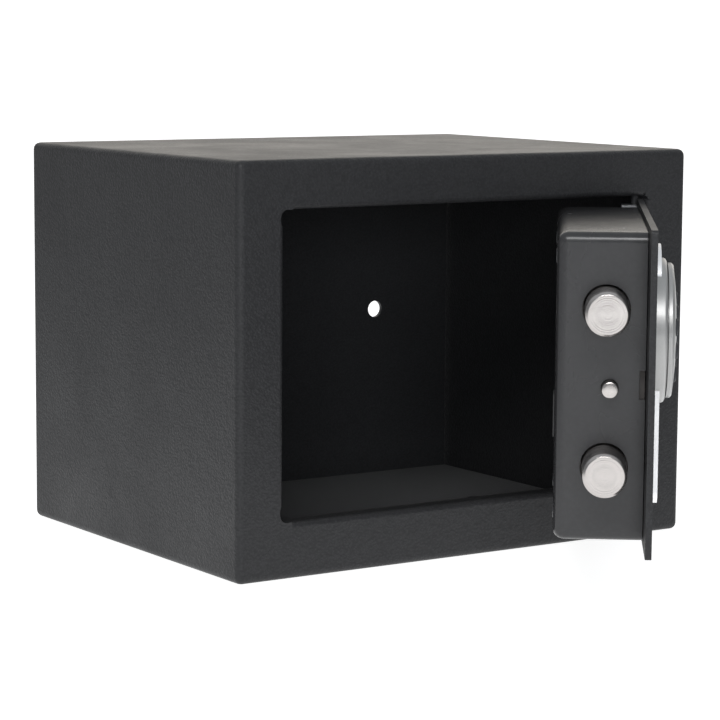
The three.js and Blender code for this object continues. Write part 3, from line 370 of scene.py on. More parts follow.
def ring_group():
    """Turned rings round the Z axis: they run round a bar's side and across its end face alike."""
    group, given, result = new_group(
        "Turned Rings",
        [("Vector", "NodeSocketVector", None), ("Pitch", "NodeSocketFloat", 0.2 * MM)],
        [("Height", "NodeSocketFloat"), ("Tone", "NodeSocketFloat")],
    )
    parts = add(group, "ShaderNodeSeparateXYZ", inputs={"Vector": given.outputs["Vector"]}).outputs
    square = sum_of(group, "MULTIPLY", parts["Y"], parts["Y"])
    square = sum_of(group, "MULTIPLY_ADD", parts["X"], parts["X"], square)
    travel = sum_of(group, "ADD", sum_of(group, "SQRT", square), parts["Z"])
    rings = add(
        group, "ShaderNodeTexNoise", noise_dimensions="1D",
        inputs={"W": sum_of(group, "DIVIDE", travel, given.outputs["Pitch"]), "Scale": 1.0,
                "Detail": 2.0, "Roughness": 0.65},
    )
    broad = add(
        group, "ShaderNodeTexNoise", noise_dimensions="1D",
        inputs={"W": sum_of(group, "DIVIDE", travel, given.outputs["Pitch"]), "Scale": 0.12, "Detail": 1.0},
    )
    group.links.new(rings.outputs["Fac"], result.inputs["Height"])
    group.links.new(ramp(group, broad.outputs["Fac"], 0.3, 0.7), result.inputs["Tone"])
    return group


def smudge_group():
    """Broad soft patches, for the uneven gloss of a surface that has been wiped and handled."""
    group, given, result = new_group(
        "Handling Smudges",
        [("Vector", "NodeSocketVector", None), ("Size", "NodeSocketFloat", 40 * MM)],
        [("Mask", "NodeSocketFloat")],
    )
    scale = sum_of(group, "DIVIDE", 1.0, given.outputs["Size"])
    patches = add(
        group, "ShaderNodeTexNoise",
        inputs={"Vector": given.outputs["Vector"], "Scale": scale, "Detail": 4.0, "Roughness": 0.62,
                "Distortion": 0.6},
    )
    group.links.new(ramp(group, patches.outputs["Fac"], 0.35, 0.68), result.inputs["Mask"])
    return group


def dust_group():
    """A thin film of dust, thicker on what faces up."""
    group, given, result = new_group(
        "Settled Dust",
        [("Vector", "NodeSocketVector", None), ("Amount", "NodeSocketFloat", 0.1)],
        [("Mask", "NodeSocketFloat")],
    )
    normal = add(group, "ShaderNodeNewGeometry").outputs["Normal"]
    upward = add(group, "ShaderNodeSeparateXYZ", inputs={"Vector": normal}).outputs["Z"]
    specks = add(
        group, "ShaderNodeTexNoise",
        inputs={"Vector": given.outputs["Vector"], "Scale": 1100.0, "Detail": 3.0, "Roughness": 0.7},
    )
    level = ramp(group, upward, 0.5, 1.0)
    lying = sum_of(group, "MULTIPLY", level, ramp(group, specks.outputs["Fac"], 0.4, 0.75))
    group.links.new(sum_of(group, "MULTIPLY", lying, given.outputs["Amount"]), result.inputs["Mask"])
    return group


EFFECTS = {}


def effect(name):
    """One of the shared node groups, built when it is first asked for."""
    makers = {"pebbles": pebble_group, "rings": ring_group, "smudges": smudge_group, "dust": dust_group}
    if name not in EFFECTS:
        EFFECTS[name] = makers[name]()
    return EFFECTS[name]


def place_effect(tree, name, **inputs):
    """A shared effect's outputs, with its inputs set by their names in small letters."""
    node = add(tree, "ShaderNodeGroup", node_tree=effect(name))
    for label, value in inputs.items():
        socket = node.inputs[label.capitalize()]
        if isinstance(value, bpy.types.NodeSocket):
            tree.links.new(value, socket)
        else:
            socket.default_value = value
    return node.outputs


# Finishes


class Finish:
    """A material with one Principled shader, and the steps that finishes share."""

    def __init__(self, name, **constants):
        self.material = bpy.data.materials.new(name)
        self.material.use_nodes = True
        self.tree = self.material.node_tree
        self.shader = self.tree.nodes["Principled BSDF"]
        for socket, value in constants.items():
            self.shader.inputs[socket.replace("_", " ")].default_value = value
        self.vector = add(self.tree, "ShaderNodeTexCoord").outputs["Object"]

    def feed(self, socket, value):
        self.tree.links.new(value, self.shader.inputs[socket])

    def smudge(self, size, clean, smudged):
        """Varies the roughness from its clean to its smudged value, in soft patches of a size."""
        patches = place_effect(self.tree, "smudges", vector=self.vector, size=size)
        self.feed("Roughness", ramp(self.tree, patches["Mask"], 0.0, 1.0, clean, smudged))

    def turn_to(self, place):
        """Takes the pattern's coordinates in the frame of a matrix."""
        self.vector = add(
            self.tree, "ShaderNodeMapping", vector_type="TEXTURE",
            inputs={"Vector": self.vector, "Location": place.translation, "Rotation": place.to_euler()},
        ).outputs["Vector"]

    def emboss(self, height, depth):
        """Raises the surface by a height of 0 to 1, times the depth in metres."""
        bump = add(
            self.tree, "ShaderNodeBump", inputs={"Height": height, "Distance": depth, "Strength": 1.0}
        )
        self.feed("Normal", bump.outputs["Normal"])


def scattered(finish, scale):
    """A value that differs from one small cell of the surface to the next."""
    cells = add(
        finish.tree, "ShaderNodeTexVoronoi",
        inputs={"Vector": finish.vector, "Scale": scale, "Randomness": 1.0},
    )
    parts = add(finish.tree, "ShaderNodeSeparateColor", inputs={"Color": cells.outputs["Color"]})
    return parts.outputs["Red"]


def fine_noise(finish, scale):
    """The height of an even, fine noise."""
    noise = add(
        finish.tree, "ShaderNodeTexNoise", inputs={"Vector": finish.vector, "Scale": scale, "Detail": 2.0}
    )
    return noise.outputs["Fac"]


def powder_coat(settings):
    """Dark powder coat with a leather-like grain, a few smudges and a little dust."""
    finish = Finish("powder_coat", Specular_IOR_Level=0.26)
    tree = finish.tree
    pebbles = place_effect(tree, "pebbles", vector=finish.vector, size=settings.grain_size)
    smudges = place_effect(tree, "smudges", vector=finish.vector, size=45 * MM)
    dust = place_effect(tree, "dust", vector=finish.vector, amount=0.05)
    coat = blend_colours(
        tree, pebbles["Tone"], opaque(settings.powder_colour, 0.8), opaque(settings.powder_colour, 1.25)
    )
    dusty = blend_colours(tree, dust["Mask"], coat, (0.35, 0.34, 0.32, 1.0))
    finish.feed("Base Color", dusty)
    base = settings.powder_roughness
    worn = ramp(tree, smudges["Mask"], 0.0, 1.0, base - 0.04, base + 0.05)
    finish.feed("Roughness", sum_of(tree, "MULTIPLY_ADD", pebbles["Tone"], -0.06, worn))
    finish.emboss(pebbles["Height"], settings.grain_depth)
    return finish.material


def satin_lining(settings):
    """Smoother dark paint, with a faint grain."""
    finish = Finish("satin_lining", Specular_IOR_Level=0.42)
    tree = finish.tree
    pebbles = place_effect(tree, "pebbles", vector=finish.vector, size=1.6 * settings.grain_size)
    paint = blend_colours(
        tree, pebbles["Tone"], opaque(settings.lining_colour, 0.92), opaque(settings.lining_colour, 1.08)
    )
    finish.feed("Base Color", paint)
    base = settings.lining_roughness
    finish.smudge(30 * MM, clean=base - 0.02, smudged=base + 0.05)
    finish.emboss(pebbles["Height"], 0.06 * settings.grain_depth)
    return finish.material


def turned_metal(name, colour, pitch, roughness, depth, place=None, side_gain=1.0):
    """Bare metal off a lathe, with rings round the Z axis of a place, or of the piece itself.

    The rings are deeper by a gain on the side, below the chamfer of the end face.
    """
    finish = Finish(name, Metallic=1.0)
    tree = finish.tree
    finish.smudge(9 * MM, clean=roughness - 0.02, smudged=roughness + 0.03)
    if place is not None:
        finish.turn_to(place)
    rings = place_effect(tree, "rings", vector=finish.vector, pitch=pitch)
    bright = blend_colours(tree, rings["Tone"], opaque(colour, 0.93), opaque(colour, 1.05))
    finish.feed("Base Color", bright)
    below = add(tree, "ShaderNodeSeparateXYZ", inputs={"Vector": finish.vector}).outputs["Z"]
    gain = ramp(tree, below, -BOLT_CHAMFER - 0.4 * MM, -BOLT_CHAMFER, side_gain, 1.0)
    finish.emboss(sum_of(tree, "MULTIPLY", rings["Height"], gain), depth)
    return finish.material


def zinc_plate(settings):
    """Zinc plating with its crystals."""
    finish = Finish("zinc_plate", Metallic=1.0)
    tree = finish.tree
    spangle = blend_colours(
        tree, scattered(finish, 420.0),
        opaque(settings.zinc_colour, 0.86), opaque(settings.zinc_colour, 1.08),
    )
    finish.feed("Base Color", spangle)
    finish.smudge(12 * MM, clean=0.3, smudged=0.48)
    finish.emboss(fine_noise(finish, 2500.0), 0.01 * MM)
    return finish.material


def silver_paint(settings, ringed_radius=0.0):
    """Silver paint on moulded plastic, turned in rings inside a radius round the knob's axis."""
    finish = Finish("silver_paint" if ringed_radius == 0 else "silver_turned", Metallic=SILVER_METALLIC)
    tree = finish.tree
    paint = blend_colours(
        tree, scattered(finish, 5200.0),
        opaque(settings.silver_colour, 0.94), opaque(settings.silver_colour, 1.06),
    )
    finish.feed("Base Color", paint)
    finish.smudge(15 * MM, clean=0.36, smudged=0.44)
    if ringed_radius == 0:
        finish.emboss(fine_noise(finish, 1800.0), 0.006 * MM)
        return finish.material
    finish.turn_to(facing(-INWARD, KNOB_MIDDLE))
    rings = place_effect(tree, "rings", vector=finish.vector, pitch=settings.ring_pitch)
    parts = add(tree, "ShaderNodeSeparateXYZ", inputs={"Vector": finish.vector}).outputs
    across = add(tree, "ShaderNodeCombineXYZ", inputs={"X": parts["X"], "Y": parts["Y"]}).outputs["Vector"]
    radius = add(tree, "ShaderNodeVectorMath", operation="LENGTH", inputs={0: across}).outputs["Value"]
    fade = 0.3 * MM
    inside = ramp(tree, radius, ringed_radius, ringed_radius + fade, 1.0, 0.0)
    finish.feed("Base Color", blend_colours(tree, inside, opaque(settings.housing_colour), paint))
    finish.feed("Metallic", ramp(tree, inside, 0.0, 1.0, HOUSING_METALLIC, SILVER_METALLIC))
    finish.emboss(sum_of(tree, "MULTIPLY", rings["Height"], inside), 0.012 * MM)
    return finish.material


def moulded_plastic(name, colour, roughness=0.5, texture_depth=0.012 * MM):
    """An evenly coloured moulding with a fine, matt skin."""
    finish = Finish(name, Specular_IOR_Level=0.45)
    tree = finish.tree
    grain = add(
        tree, "ShaderNodeTexNoise",
        inputs={"Vector": finish.vector, "Scale": 3200.0, "Detail": 3.0, "Roughness": 0.6},
    )
    speckled = blend_colours(tree, grain.outputs["Fac"], opaque(colour, 0.85), opaque(colour, 1.15))
    finish.feed("Base Color", speckled)
    finish.smudge(10 * MM, clean=roughness - 0.05, smudged=roughness + 0.07)
    finish.emboss(grain.outputs["Fac"], texture_depth)
    return finish.material


def needle_felt():
    """Black felt with its fibres and tufts."""
    finish = Finish("needle_felt", Sheen_Weight=0.1, Sheen_Roughness=0.5, Specular_IOR_Level=0.2)
    tree = finish.tree
    fibres = add(
        tree, "ShaderNodeTexNoise",
        inputs={"Vector": finish.vector, "Scale": 1500.0, "Detail": 6.0, "Roughness": 0.75,
                "Distortion": 2.5},
    )
    mixed = sum_of(tree, "MULTIPLY_ADD", fine_noise(finish, 260.0), 0.6, fibres.outputs["Fac"])
    paleness = ramp(tree, mixed, 0.5, 1.1)
    felt = blend_colours(tree, paleness, (0.006, 0.006, 0.007, 1.0), (0.02, 0.02, 0.022, 1.0))
    finish.feed("Base Color", felt)
    finish.feed("Roughness", ramp(tree, paleness, 0.0, 1.0, 0.85, 1.0))
    finish.emboss(mixed, 0.25 * MM)
    return finish.material


def circuit_lacquer():
    """Green lacquer over fine copper tracks."""
    finish = Finish("circuit_lacquer", Specular_IOR_Level=0.5)
    tree = finish.tree
    tracks = add(
        tree, "ShaderNodeTexBrick", offset=0.5,
        inputs={"Vector": finish.vector, "Scale": 260.0, "Mortar Size": 0.06, "Bias": 0.0,
                "Brick Width": 0.9, "Row Height": 0.35},
    )
    lay = tracks.outputs["Fac"]
    finish.feed("Base Color", blend_colours(tree, lay, (0.012, 0.09, 0.04, 1.0), (0.03, 0.2, 0.08, 1.0)))
    finish.feed("Roughness", ramp(tree, lay, 0.0, 1.0, 0.32, 0.24))
    finish.emboss(lay, 0.02 * MM)
    return finish.material


def cell_wrap():
    """Plain shrink wrap with a copper-coloured band round each cell's end nearer the hinge."""
    finish = Finish("cell_wrap", Coat_Weight=0.4, Coat_Roughness=0.1)
    tree = finish.tree
    hinge_end = reach("battery_1", ALONG)[1]
    along = add(
        tree, "ShaderNodeVectorMath", operation="DOT_PRODUCT", inputs={0: finish.vector, 1: ALONG}
    ).outputs["Value"]
    band_width = 11.8 * MM
    fade = 0.2 * MM
    band = ramp(tree, along, hinge_end - band_width - fade, hinge_end - band_width)
    creases = fine_noise(finish, 600.0)
    finish.feed("Base Color", blend_colours(tree, band, (0.02, 0.032, 0.045, 1.0), (0.45, 0.2, 0.08, 1.0)))
    finish.feed("Roughness", ramp(tree, creases, 0.3, 0.7, 0.25, 0.4))
    finish.emboss(creases, 0.02 * MM)
    return finish.material


MATERIALS = {}


def make_finishes(settings):
    """Makes all the finishes once, and keeps them by name."""
    if MATERIALS:
        return
    housing_radius = half_height("knob_cap") + RING_WIDTH
    lock_place = facing(-INWARD, Vector(JOINTS["emergency_key_turn"]["pos_m"]))
    MATERIALS.update(
        powder_coat=powder_coat(settings),
        lining=satin_lining(settings),
        turned_steel=turned_metal(
            "turned_steel", settings.steel_colour, pitch=2 * settings.ring_pitch, roughness=0.24,
            depth=0.035 * MM, side_gain=9.0,
        ),
        phosphated_steel=moulded_plastic("phosphated_steel", (0.12, 0.11, 0.105), roughness=0.6),
        zinc_steel=zinc_plate(settings),
        silver_plastic=silver_paint(settings),
        silver_turned=silver_paint(settings, housing_radius),
        key_plastic=moulded_plastic(
            "key_rubber", (0.02, 0.021, 0.024), roughness=0.55, texture_depth=0.02 * MM
        ),
        numeral=moulded_plastic("numeral_print", settings.numeral_colour, texture_depth=0.002 * MM),
        black_plastic=moulded_plastic("black_moulding", (0.014, 0.014, 0.016)),
        brass=turned_metal(
            "turned_brass", (0.68, 0.47, 0.2), pitch=0.3 * MM, roughness=0.28, depth=0.01 * MM,
            place=lock_place,
        ),
        circuit_green=circuit_lacquer(),
        cell_wrap=cell_wrap(),
        red_plastic=moulded_plastic(
            "red_moulding", (0.5, 0.02, 0.015), roughness=0.35, texture_depth=0.004 * MM
        ),
        felt=needle_felt(),
    )


# Shapes


def easing_nodes():
    """Geometry nodes that join a solid's faces at their shared edges and shade it smooth."""
    name = "Joined And Smooth"
    if name in bpy.data.node_groups:
        return bpy.data.node_groups[name]
    group = bpy.data.node_groups.new(name, "GeometryNodeTree")
    group.interface.new_socket("Geometry", in_out="INPUT", socket_type="NodeSocketGeometry")
    group.interface.new_socket("Geometry", in_out="OUTPUT", socket_type="NodeSocketGeometry")
    given = group.nodes.new("NodeGroupInput")
    result = group.nodes.new("NodeGroupOutput")
    weld = add(
        group, "GeometryNodeMergeByDistance",
        inputs={"Geometry": given.outputs[0], "Distance": 0.002 * MM},
    )
    smooth = add(
        group, "GeometryNodeSetShadeSmooth", inputs={"Geometry": weld.outputs[0], "Shade Smooth": True}
    )
    group.links.new(smooth.outputs[0], result.inputs[0])
    return group


def even_shading(piece):
    """Shades a piece as one worked surface, by the size of its faces."""
    shade = piece.modifiers.new("even_shading", "WEIGHTED_NORMAL")
    shade.weight = 90
    shade.keep_sharp = False


def ease_edges(piece, width, segments):
    """Rounds a piece's sharp edges by modifiers."""
    piece.modifiers.new("join_faces", "NODES").node_group = easing_nodes()
    flat = piece.modifiers.new("merge_flats", "DECIMATE")
    flat.decimate_type = "DISSOLVE"
    flat.angle_limit = math.radians(0.4)
    bevel = piece.modifiers.new("eased_edges", "BEVEL")
    bevel.width = width
    bevel.segments = segments
    bevel.limit_method = "ANGLE"
    bevel.angle_limit = math.radians(40)
    bevel.use_clamp_overlap = True
    even_shading(piece)


def dress(node, material=None, ease=0.15 * MM, segments=2):
    """Gives a CAD node its finish and eased edges."""
    piece = frame["nodes"][node]
    piece.data.materials.clear()
    piece.data.materials.append(material or MATERIALS[SLOT_OF[node]])
    ease_edges(piece, ease, segments)


def piece_from(name, made, material, node, place=None):
    """A new piece from a bmesh, riding where a CAD node rides."""
    bmesh.ops.recalc_face_normals(made, faces=made.faces)
    for face in made.faces:
        face.smooth = True
    mesh = bpy.data.meshes.new(name)
    made.to_mesh(mesh)
    made.free()
    mesh.materials.append(material)
    piece = bpy.data.objects.new(name, mesh)
    bpy.context.scene.collection.objects.link(piece)
    if place is not None:
        piece.matrix_world = place
    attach(piece, BODY_OF[node])
    return piece


def eased(profile, corner, steps=3):
    """A profile whose inner corners are rounded over a length on each side."""
    points = [Vector(p) for p in profile]
    result = [points[0]]
    for before, here, after in zip(points, points[1:], points[2:]):
        back = before - here
        ahead = after - here
        cut = min(corner, back.length * 0.45, ahead.length * 0.45)
        start = here + back.normalized() * cut
        end = here + ahead.normalized() * cut
        for i in range(steps + 1):
            t = i / steps
            result.append(start * (1 - t) ** 2 + here * 2 * t * (1 - t) + end * t**2)
    result.append(points[-1])
    return [(p.x, p.y) for p in result]


def lathe(profile, steps=96):
    """A closed turned shape round the Z axis, from (radius, height) points that both end on the axis."""
    made = bmesh.new()
    rings = []
    for radius, height in profile:
        if radius == 0:
            rings.append([made.verts.new((0, 0, height))] * steps)
            continue
        ring = []
        for i in range(steps):
            angle = 2 * math.pi * i / steps
            ring.append(made.verts.new((radius * math.cos(angle), radius * math.sin(angle), height)))
        rings.append(ring)
    for lower, upper in zip(rings, rings[1:]):
        for i in range(steps):
            j = (i + 1) % steps
            corners = [lower[i], lower[j], upper[j], upper[i]]
            distinct = list(dict.fromkeys(corners))
            if len(distinct) > 2:
                made.faces.new(distinct)
    return made


# Pieces


def turned_piece(node, made, near):
    """Puts a turned shape in the place of a bolt or pin, with its end face at a distance along the door."""
    inward, up = middle(node)[1:]
    place = facing(-ALONG, door_point(near, inward, up))
    piece = piece_from(f"{node}_turned", made, MATERIALS["turned_steel"], node, place)
    even_shading(piece)
    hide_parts(node)


def finer_bolt(node):
    """A round bolt with an eased chamfer round its end face."""
    near, far = reach(node, ALONG)
    radius = half_height(node)
    spigot_radius = 3 * MM
    spigot_length = 4 * MM
    length = far - near
    body = length - spigot_length
    profile = [
        (0, 0),
        (radius - BOLT_CHAMFER, 0),
        (radius, -BOLT_CHAMFER),
        (radius, -body),
        (spigot_radius, -body),
        (spigot_radius, -length),
        (0, -length),
    ]
    turned_piece(node, lathe(eased(profile, 0.2 * MM)), near)


def finer_pin(node):
    """The guide pin, with a domed end."""
    near, far = reach(node, ALONG)
    radius = half_height(node)
    dome = 0.45 * MM
    steps = 10
    angles = [i / steps * math.pi / 2 for i in range(steps + 1)]
    arc = [(radius * math.sin(angle), -dome * (1 - math.cos(angle))) for angle in angles]
    profile = [*arc, (radius, near - far), (0, near - far)]
    turned_piece(node, lathe(profile, 48), near)


def knob_up():
    """The keypad's own upward direction: it stands upright once the knob has thrown the bolts."""
    turn = math.radians(JOINTS["knob_turn"]["range_deg"][1])
    return Matrix.Rotation(-turn, 3, -INWARD) @ UP


def finer_key(node):
    """A key with a dished top and a flange that holds it under the knob's face."""
    top, back = reach(node, INWARD)
    along, inward, up = middle(node)
    flange = half_height(node)
    radius = flange - 0.7 * MM
    depth = back - top
    flange_top = 0.8 * MM - depth
    profile = [
        (0, -0.2 * MM),
        (1.5 * MM, -0.16 * MM),
        (2.5 * MM, -0.05 * MM),
        (radius - 0.5 * MM, 0),
        (radius, -0.45 * MM),
        (radius, flange_top),
        (flange, flange_top),
        (flange, -depth),
        (0, -depth),
    ]
    place = facing(-INWARD, door_point(along, top, up), knob_up())
    made = lathe(eased(profile, 0.15 * MM), 48)
    piece = piece_from(f"{node}_cap", made, MATERIALS["key_plastic"], node, place)
    even_shading(piece)
    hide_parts(node)
    return place


def bar(made, start, end, width, depth):
    """Adds a flat printed stroke between two points to a bmesh."""
    line = Vector(end) - Vector(start)
    side = Vector((-line.y, line.x)).normalized() * width / 2
    corners = [Vector(start) - side, Vector(start) + side, Vector(end) + side, Vector(end) - side]
    lower = [made.verts.new((c.x, c.y, -depth)) for c in corners]
    upper = [made.verts.new((c.x, c.y, 0)) for c in corners]
    made.faces.new(upper)
    made.faces.new(lower[::-1])
    for i in range(4):
        j = (i + 1) % 4
        made.faces.new((lower[i], lower[j], upper[j], upper[i]))


def stroke_sign(strokes):
    """A printed sign made of strokes."""
    made = bmesh.new()
    for start, end in strokes:
        bar(made, start, end, STROKE_WIDTH, PRINT_DEPTH)
    return made


def number_shape(text):
    """A printed number, as a bmesh centred on the origin."""
    curve = bpy.data.curves.new(f"number_{text}", "FONT")
    curve.body = text
    curve.size = NUMBER_SIZE
    curve.extrude = PRINT_DEPTH / 2
    curve.align_x = "CENTER"
    curve.align_y = "CENTER"
    carrier = bpy.data.objects.new(f"number_{text}", curve)
    bpy.context.scene.collection.objects.link(carrier)
    bpy.context.view_layer.update()
    solid = carrier.evaluated_get(bpy.context.evaluated_depsgraph_get()).to_mesh()
    made = bmesh.new()
    made.from_mesh(solid)
    bmesh.ops.remove_doubles(made, verts=made.verts, dist=0.001 * MM)
    low = Vector(min(v.co[i] for v in made.verts) for i in range(3))
    high = Vector(max(v.co[i] for v in made.verts) for i in range(3))
    centre = (low + high) / 2
    bmesh.ops.translate(made, verts=made.verts, vec=(-centre.x, -centre.y, -high.z))
    bpy.data.objects.remove(carrier)
    bpy.data.curves.remove(curve)
    return made


def numeral(label, place):
    """What is printed on a key: its number, a cross to clear, or a tick to enter."""
    arm = 1.15 * MM
    signs = {
        "clear": [
            ((-arm, -arm), (arm, arm)),
            ((-arm, arm), (arm, -arm)),
        ],
        "enter": [
            ((-1.4 * MM, 0.1 * MM), (-0.4 * MM, -1.0 * MM)),
            ((-0.55 * MM, -1.0 * MM), (1.5 * MM, 1.2 * MM)),
        ],
    }
    made = stroke_sign(signs[label]) if label in signs else number_shape(label)
    dish = 0.09 * MM
    printed = place @ Matrix.Translation((0, 0, -dish))
    sign = piece_from(f"print_{label}", made, MATERIALS["numeral"], f"key_{label}", printed)
    for face in sign.data.polygons:
        face.use_smooth = False


# Operators


class SafeOperator:
    """What the safe's operators share."""

    bl_options = {"REGISTER", "UNDO"}

    def execute(self, context):
        make_finishes(context.scene.safe_finishes)
        self.make()
        return {"FINISHED"}


class SAFE_OT_cabinet(SafeOperator, bpy.types.Operator):
    """Finishes the folded cabinet, its back panel and the mat on its floor"""

    bl_idname = "safe.cabinet"
    bl_label = "Cabinet"

    def make(self):
        dress("body_shell", ease=0.2 * MM)
        dress("back_panel", ease=0.2 * MM)
        dress("floor_mat", ease=0.4 * MM)


class SAFE_OT_door(SafeOperator, bpy.types.Operator):
    """Finishes the door's plate, lining, screws and hinge"""

    bl_idname = "safe.door"
    bl_label = "Door"

    def make(self):
        dress("door_plate", ease=0.14 * MM)
        dress("door_lining", ease=0.1 * MM)
        for i in range(1, 5):
            dress(f"lining_screw_{i}", ease=0.12 * MM)
        for end in ("upper", "lower"):
            dress(f"hinge_tab_{end}", ease=0.2 * MM)
            dress(f"hinge_pin_{end}", ease=0.2 * MM)


class SAFE_OT_bolts(SafeOperator, bpy.types.Operator):
    """Turns the two bolts and the guide pin between them"""

    bl_idname = "safe.bolts"
    bl_label = "Bolts and Guide Pin"

    def make(self):
        finer_bolt("bolt_upper")
        finer_bolt("bolt_lower")
        finer_pin("guide_pin")


class SAFE_OT_lock_front(SafeOperator, bpy.types.Operator):
    """Finishes the lock's housing, its knob and the cover over the emergency lock"""

    bl_idname = "safe.lock_front"
    bl_label = "Lock Front"

    def make(self):
        dress("lock_housing", MATERIALS["silver_turned"], ease=0.35 * MM, segments=3)
        dress("knob_cap", MATERIALS["silver_turned"], ease=0.2 * MM)
        dress("key_cover", ease=0.2 * MM)
        dress("key_barrel", ease=0.2 * MM)
        dress("key_plug", ease=0.12 * MM)


class SAFE_OT_keypad(SafeOperator, bpy.types.Operator):
    """Makes the twelve keys and prints their numbers and signs"""

    bl_idname = "safe.keypad"
    bl_label = "Keypad"

    def make(self):
        for label in KEY_NAMES:
            numeral(label, finer_key(f"key_{label}"))
        dress("keypad_board", ease=0.1 * MM)


class SAFE_OT_lock_works(SafeOperator, bpy.types.Operator):
    """Finishes what turns, slides and catches inside the door"""

    bl_idname = "safe.lock_works"
    bl_label = "Lock Works"

    def make(self):
        turning = ("shaft_bush", "knob_hub", "knob_shaft", "crank", "key_cam")
        sliding = ("bolt_carrier", "bolt_guide", "solenoid_body", "solenoid_plunger")
        for node in turning + sliding:
            dress(node)


class SAFE_OT_power(SafeOperator, bpy.types.Operator):
    """Finishes the batteries, their holder and cover, the circuit board and the reset button"""

    bl_idname = "safe.power"
    bl_label = "Batteries and Circuit"

    def make(self):
        for node in ("battery_holder", "battery_cover", "circuit_board", "reset_button"):
            dress(node)
        for i in range(1, 5):
            dress(f"battery_{i}", ease=0.4 * MM, segments=3)


def area_light(name, place, size, power, colour=(1, 1, 1), highlights=True):
    """A broad soft light that faces the safe, with or without its highlight on glossy surfaces."""
    light = bpy.data.lights.new(name, "AREA")
    light.shape = "RECTANGLE"
    light.size, light.size_y = size
    light.energy = power
    light.color = colour
    lamp = bpy.data.objects.new(name, light)
    bpy.context.scene.collection.objects.link(lamp)
    lamp.matrix_world = facing(Vector(place) - Vector(SAFE_MIDDLE), Vector(place))
    lamp.visible_glossy = highlights


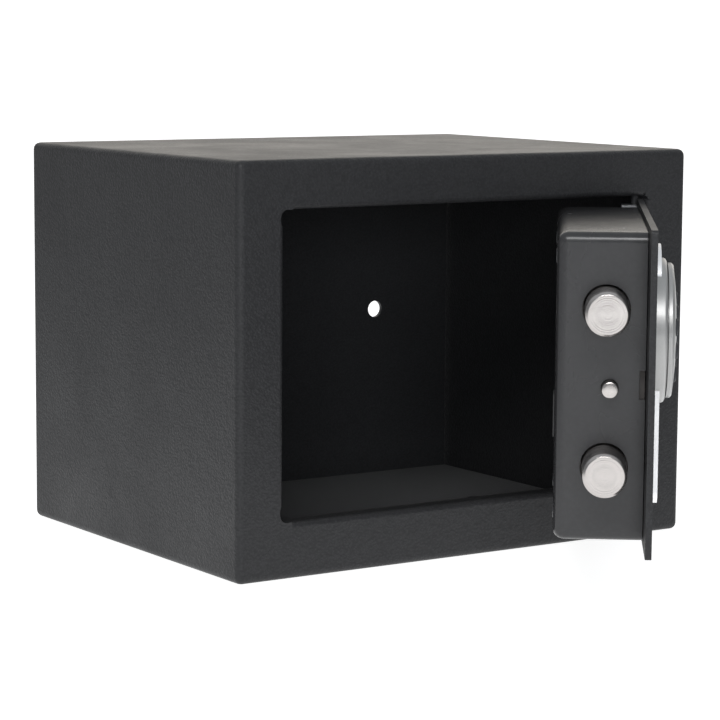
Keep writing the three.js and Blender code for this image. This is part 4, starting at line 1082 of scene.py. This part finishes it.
class SAFE_OT_stage(bpy.types.Operator):
    """Sets the camera, the pale floor, the white surround and the soft lights"""

    bl_idname = "safe.stage"
    bl_label = "Studio"
    bl_options = {"REGISTER", "UNDO"}

    def execute(self, context):
        studio = context.scene.safe_studio
        self.camera(context.scene, studio)
        self.floor(studio)
        self.surround(context.scene, studio)
        area_light(
            "fill_light", FILL_PLACE, FILL_SIZE, studio.fill_power, colour=FILL_TINT, highlights=False
        )
        area_light("strip_light", STRIP_PLACE, STRIP_SIZE, studio.strip_power)
        return {"FINISHED"}

    def camera(self, scene, studio):
        """A camera where the photo was taken from."""
        data = bpy.data.cameras.new("camera")
        data.lens = studio.lens
        data.sensor_width = SENSOR_WIDTH
        data.clip_start = 0.01
        data.clip_end = 50
        camera = bpy.data.objects.new("camera", data)
        scene.collection.objects.link(camera)
        camera.matrix_world = (
            Matrix.Translation(studio.camera_place)
            @ Matrix.Rotation(-studio.camera_yaw, 4, "Z")
            @ Matrix.Rotation(math.pi / 2 - studio.camera_pitch, 4, "X")
            @ Matrix.Rotation(studio.camera_roll, 4, "Z")
        )
        scene.camera = camera

    def floor(self, studio):
        """A pale floor that glows by its own emission: painted light, bright in one lane fixed to the floor along
        the studio's axis, and dimmer beside it.
        """
        finish = Finish("studio_floor", Specular_IOR_Level=0.2, Roughness=0.8, Emission_Strength=1)
        tree = finish.tree
        tint = blend_colours(
            tree, fine_noise(finish, 3.0), opaque(studio.floor_colour, 0.99), opaque(studio.floor_colour)
        )
        finish.feed("Base Color", tint)
        finish.turn_to(Matrix.Rotation(-studio.studio_turn, 4, "Z"))
        parts = add(tree, "ShaderNodeSeparateXYZ", inputs={"Vector": finish.vector}).outputs
        beyond = sum_of(tree, "SUBTRACT", parts["Y"], studio.lane_flare_start)
        widths = sum_of(tree, "ADD", sum_of(tree, "MAXIMUM", beyond, 0.0), 1.0)
        off_axis = sum_of(tree, "DIVIDE", sum_of(tree, "ABSOLUTE", parts["X"]), widths)
        # Painted light: the floor glows fully inside the lane, which widens past the flare start, and falls to the
        # dimmer edge glow beside it.
        painted_glow = ramp(
            tree, off_axis, studio.lane_half_width, studio.lane_fade_width,
            studio.floor_painted_glow, studio.floor_edge_painted_glow,
        )
        # The painted glow is fed to the floor's emission.
        lit = add(tree, "ShaderNodeCombineColor", inputs={"Red": painted_glow, "Green": painted_glow, "Blue": painted_glow})
        finish.feed("Emission Color", lit.outputs["Color"])
        made = bmesh.new()
        bmesh.ops.create_circle(made, cap_ends=True, segments=96, radius=FLOOR_RADIUS)
        mesh = bpy.data.meshes.new("studio_floor")
        made.to_mesh(mesh)
        made.free()
        mesh.materials.append(finish.material)
        floor = bpy.data.objects.new("studio_floor", mesh)
        bpy.context.scene.collection.objects.link(floor)

    def surround(self, scene, studio):
        """A surround that is bright and warm at the far end, cool at the sides and soft overhead."""
        world = bpy.data.worlds.new("studio_surround")
        world.use_nodes = True
        tree = world.node_tree
        toward = add(tree, "ShaderNodeTexCoord").outputs["Generated"]
        far_end = (math.sin(studio.studio_turn), math.cos(studio.studio_turn), 0)
        ahead = add(tree, "ShaderNodeVectorMath", operation="DOT_PRODUCT", inputs={0: toward, 1: far_end})
        behind = ramp(tree, ahead.outputs["Value"], *FAR_END_EDGE)
        around = ramp(tree, behind, 0.0, 1.0, studio.side_strength, studio.backdrop_strength)
        height = add(tree, "ShaderNodeSeparateXYZ", inputs={"Vector": toward}).outputs["Z"]
        overhead = ramp(tree, height, *OVERHEAD_EDGE)
        lift = sum_of(tree, "MULTIPLY", overhead, studio.ceiling_strength)
        strength = sum_of(tree, "MULTIPLY_ADD", sum_of(tree, "SUBTRACT", 1.0, overhead), around, lift)
        background = tree.nodes["Background"]
        colour = blend_colours(tree, behind, opaque(studio.cool_tint), opaque(studio.warm_tint))
        tree.links.new(colour, background.inputs["Color"])
        tree.links.new(strength, background.inputs["Strength"])
        scene.world = world
        scene.view_settings.view_transform = "Standard"


PIECE_OPERATORS = (
    SAFE_OT_cabinet,
    SAFE_OT_door,
    SAFE_OT_bolts,
    SAFE_OT_lock_front,
    SAFE_OT_keypad,
    SAFE_OT_lock_works,
    SAFE_OT_power,
)


class SAFE_PT_panel(bpy.types.Panel):
    """Lists the safe's pieces, their settings and the studio"""

    bl_idname = "SAFE_PT_panel"
    bl_label = "Furniture Safe"
    bl_space_type = "VIEW_3D"
    bl_region_type = "UI"
    bl_category = "Safe"

    def draw(self, context):
        layout = self.layout
        for operator in (*PIECE_OPERATORS, SAFE_OT_stage):
            layout.operator(operator.bl_idname)
        for settings in (context.scene.safe_finishes, context.scene.safe_studio):
            box = layout.box()
            for name in settings.bl_rna.properties.keys():
                if name not in ("rna_type", "name"):
                    box.prop(settings, name)


CLASSES = (SafeFinishes, SafeStudio, *PIECE_OPERATORS, SAFE_OT_stage, SAFE_PT_panel)


def register():
    for cls in CLASSES:
        bpy.utils.register_class(cls)
    bpy.types.Scene.safe_finishes = PointerProperty(type=SafeFinishes)
    bpy.types.Scene.safe_studio = PointerProperty(type=SafeStudio)


def unregister():
    del bpy.types.Scene.safe_studio
    del bpy.types.Scene.safe_finishes
    for cls in reversed(CLASSES):
        bpy.utils.unregister_class(cls)


def main():
    register()
    bpy.ops.safe.stage()
    bpy.ops.safe.cabinet()
    bpy.ops.safe.door()
    bpy.ops.safe.bolts()
    bpy.ops.safe.lock_front()
    bpy.ops.safe.keypad()
    bpy.ops.safe.lock_works()
    bpy.ops.safe.power()


if __name__ == "__main__":
    main()
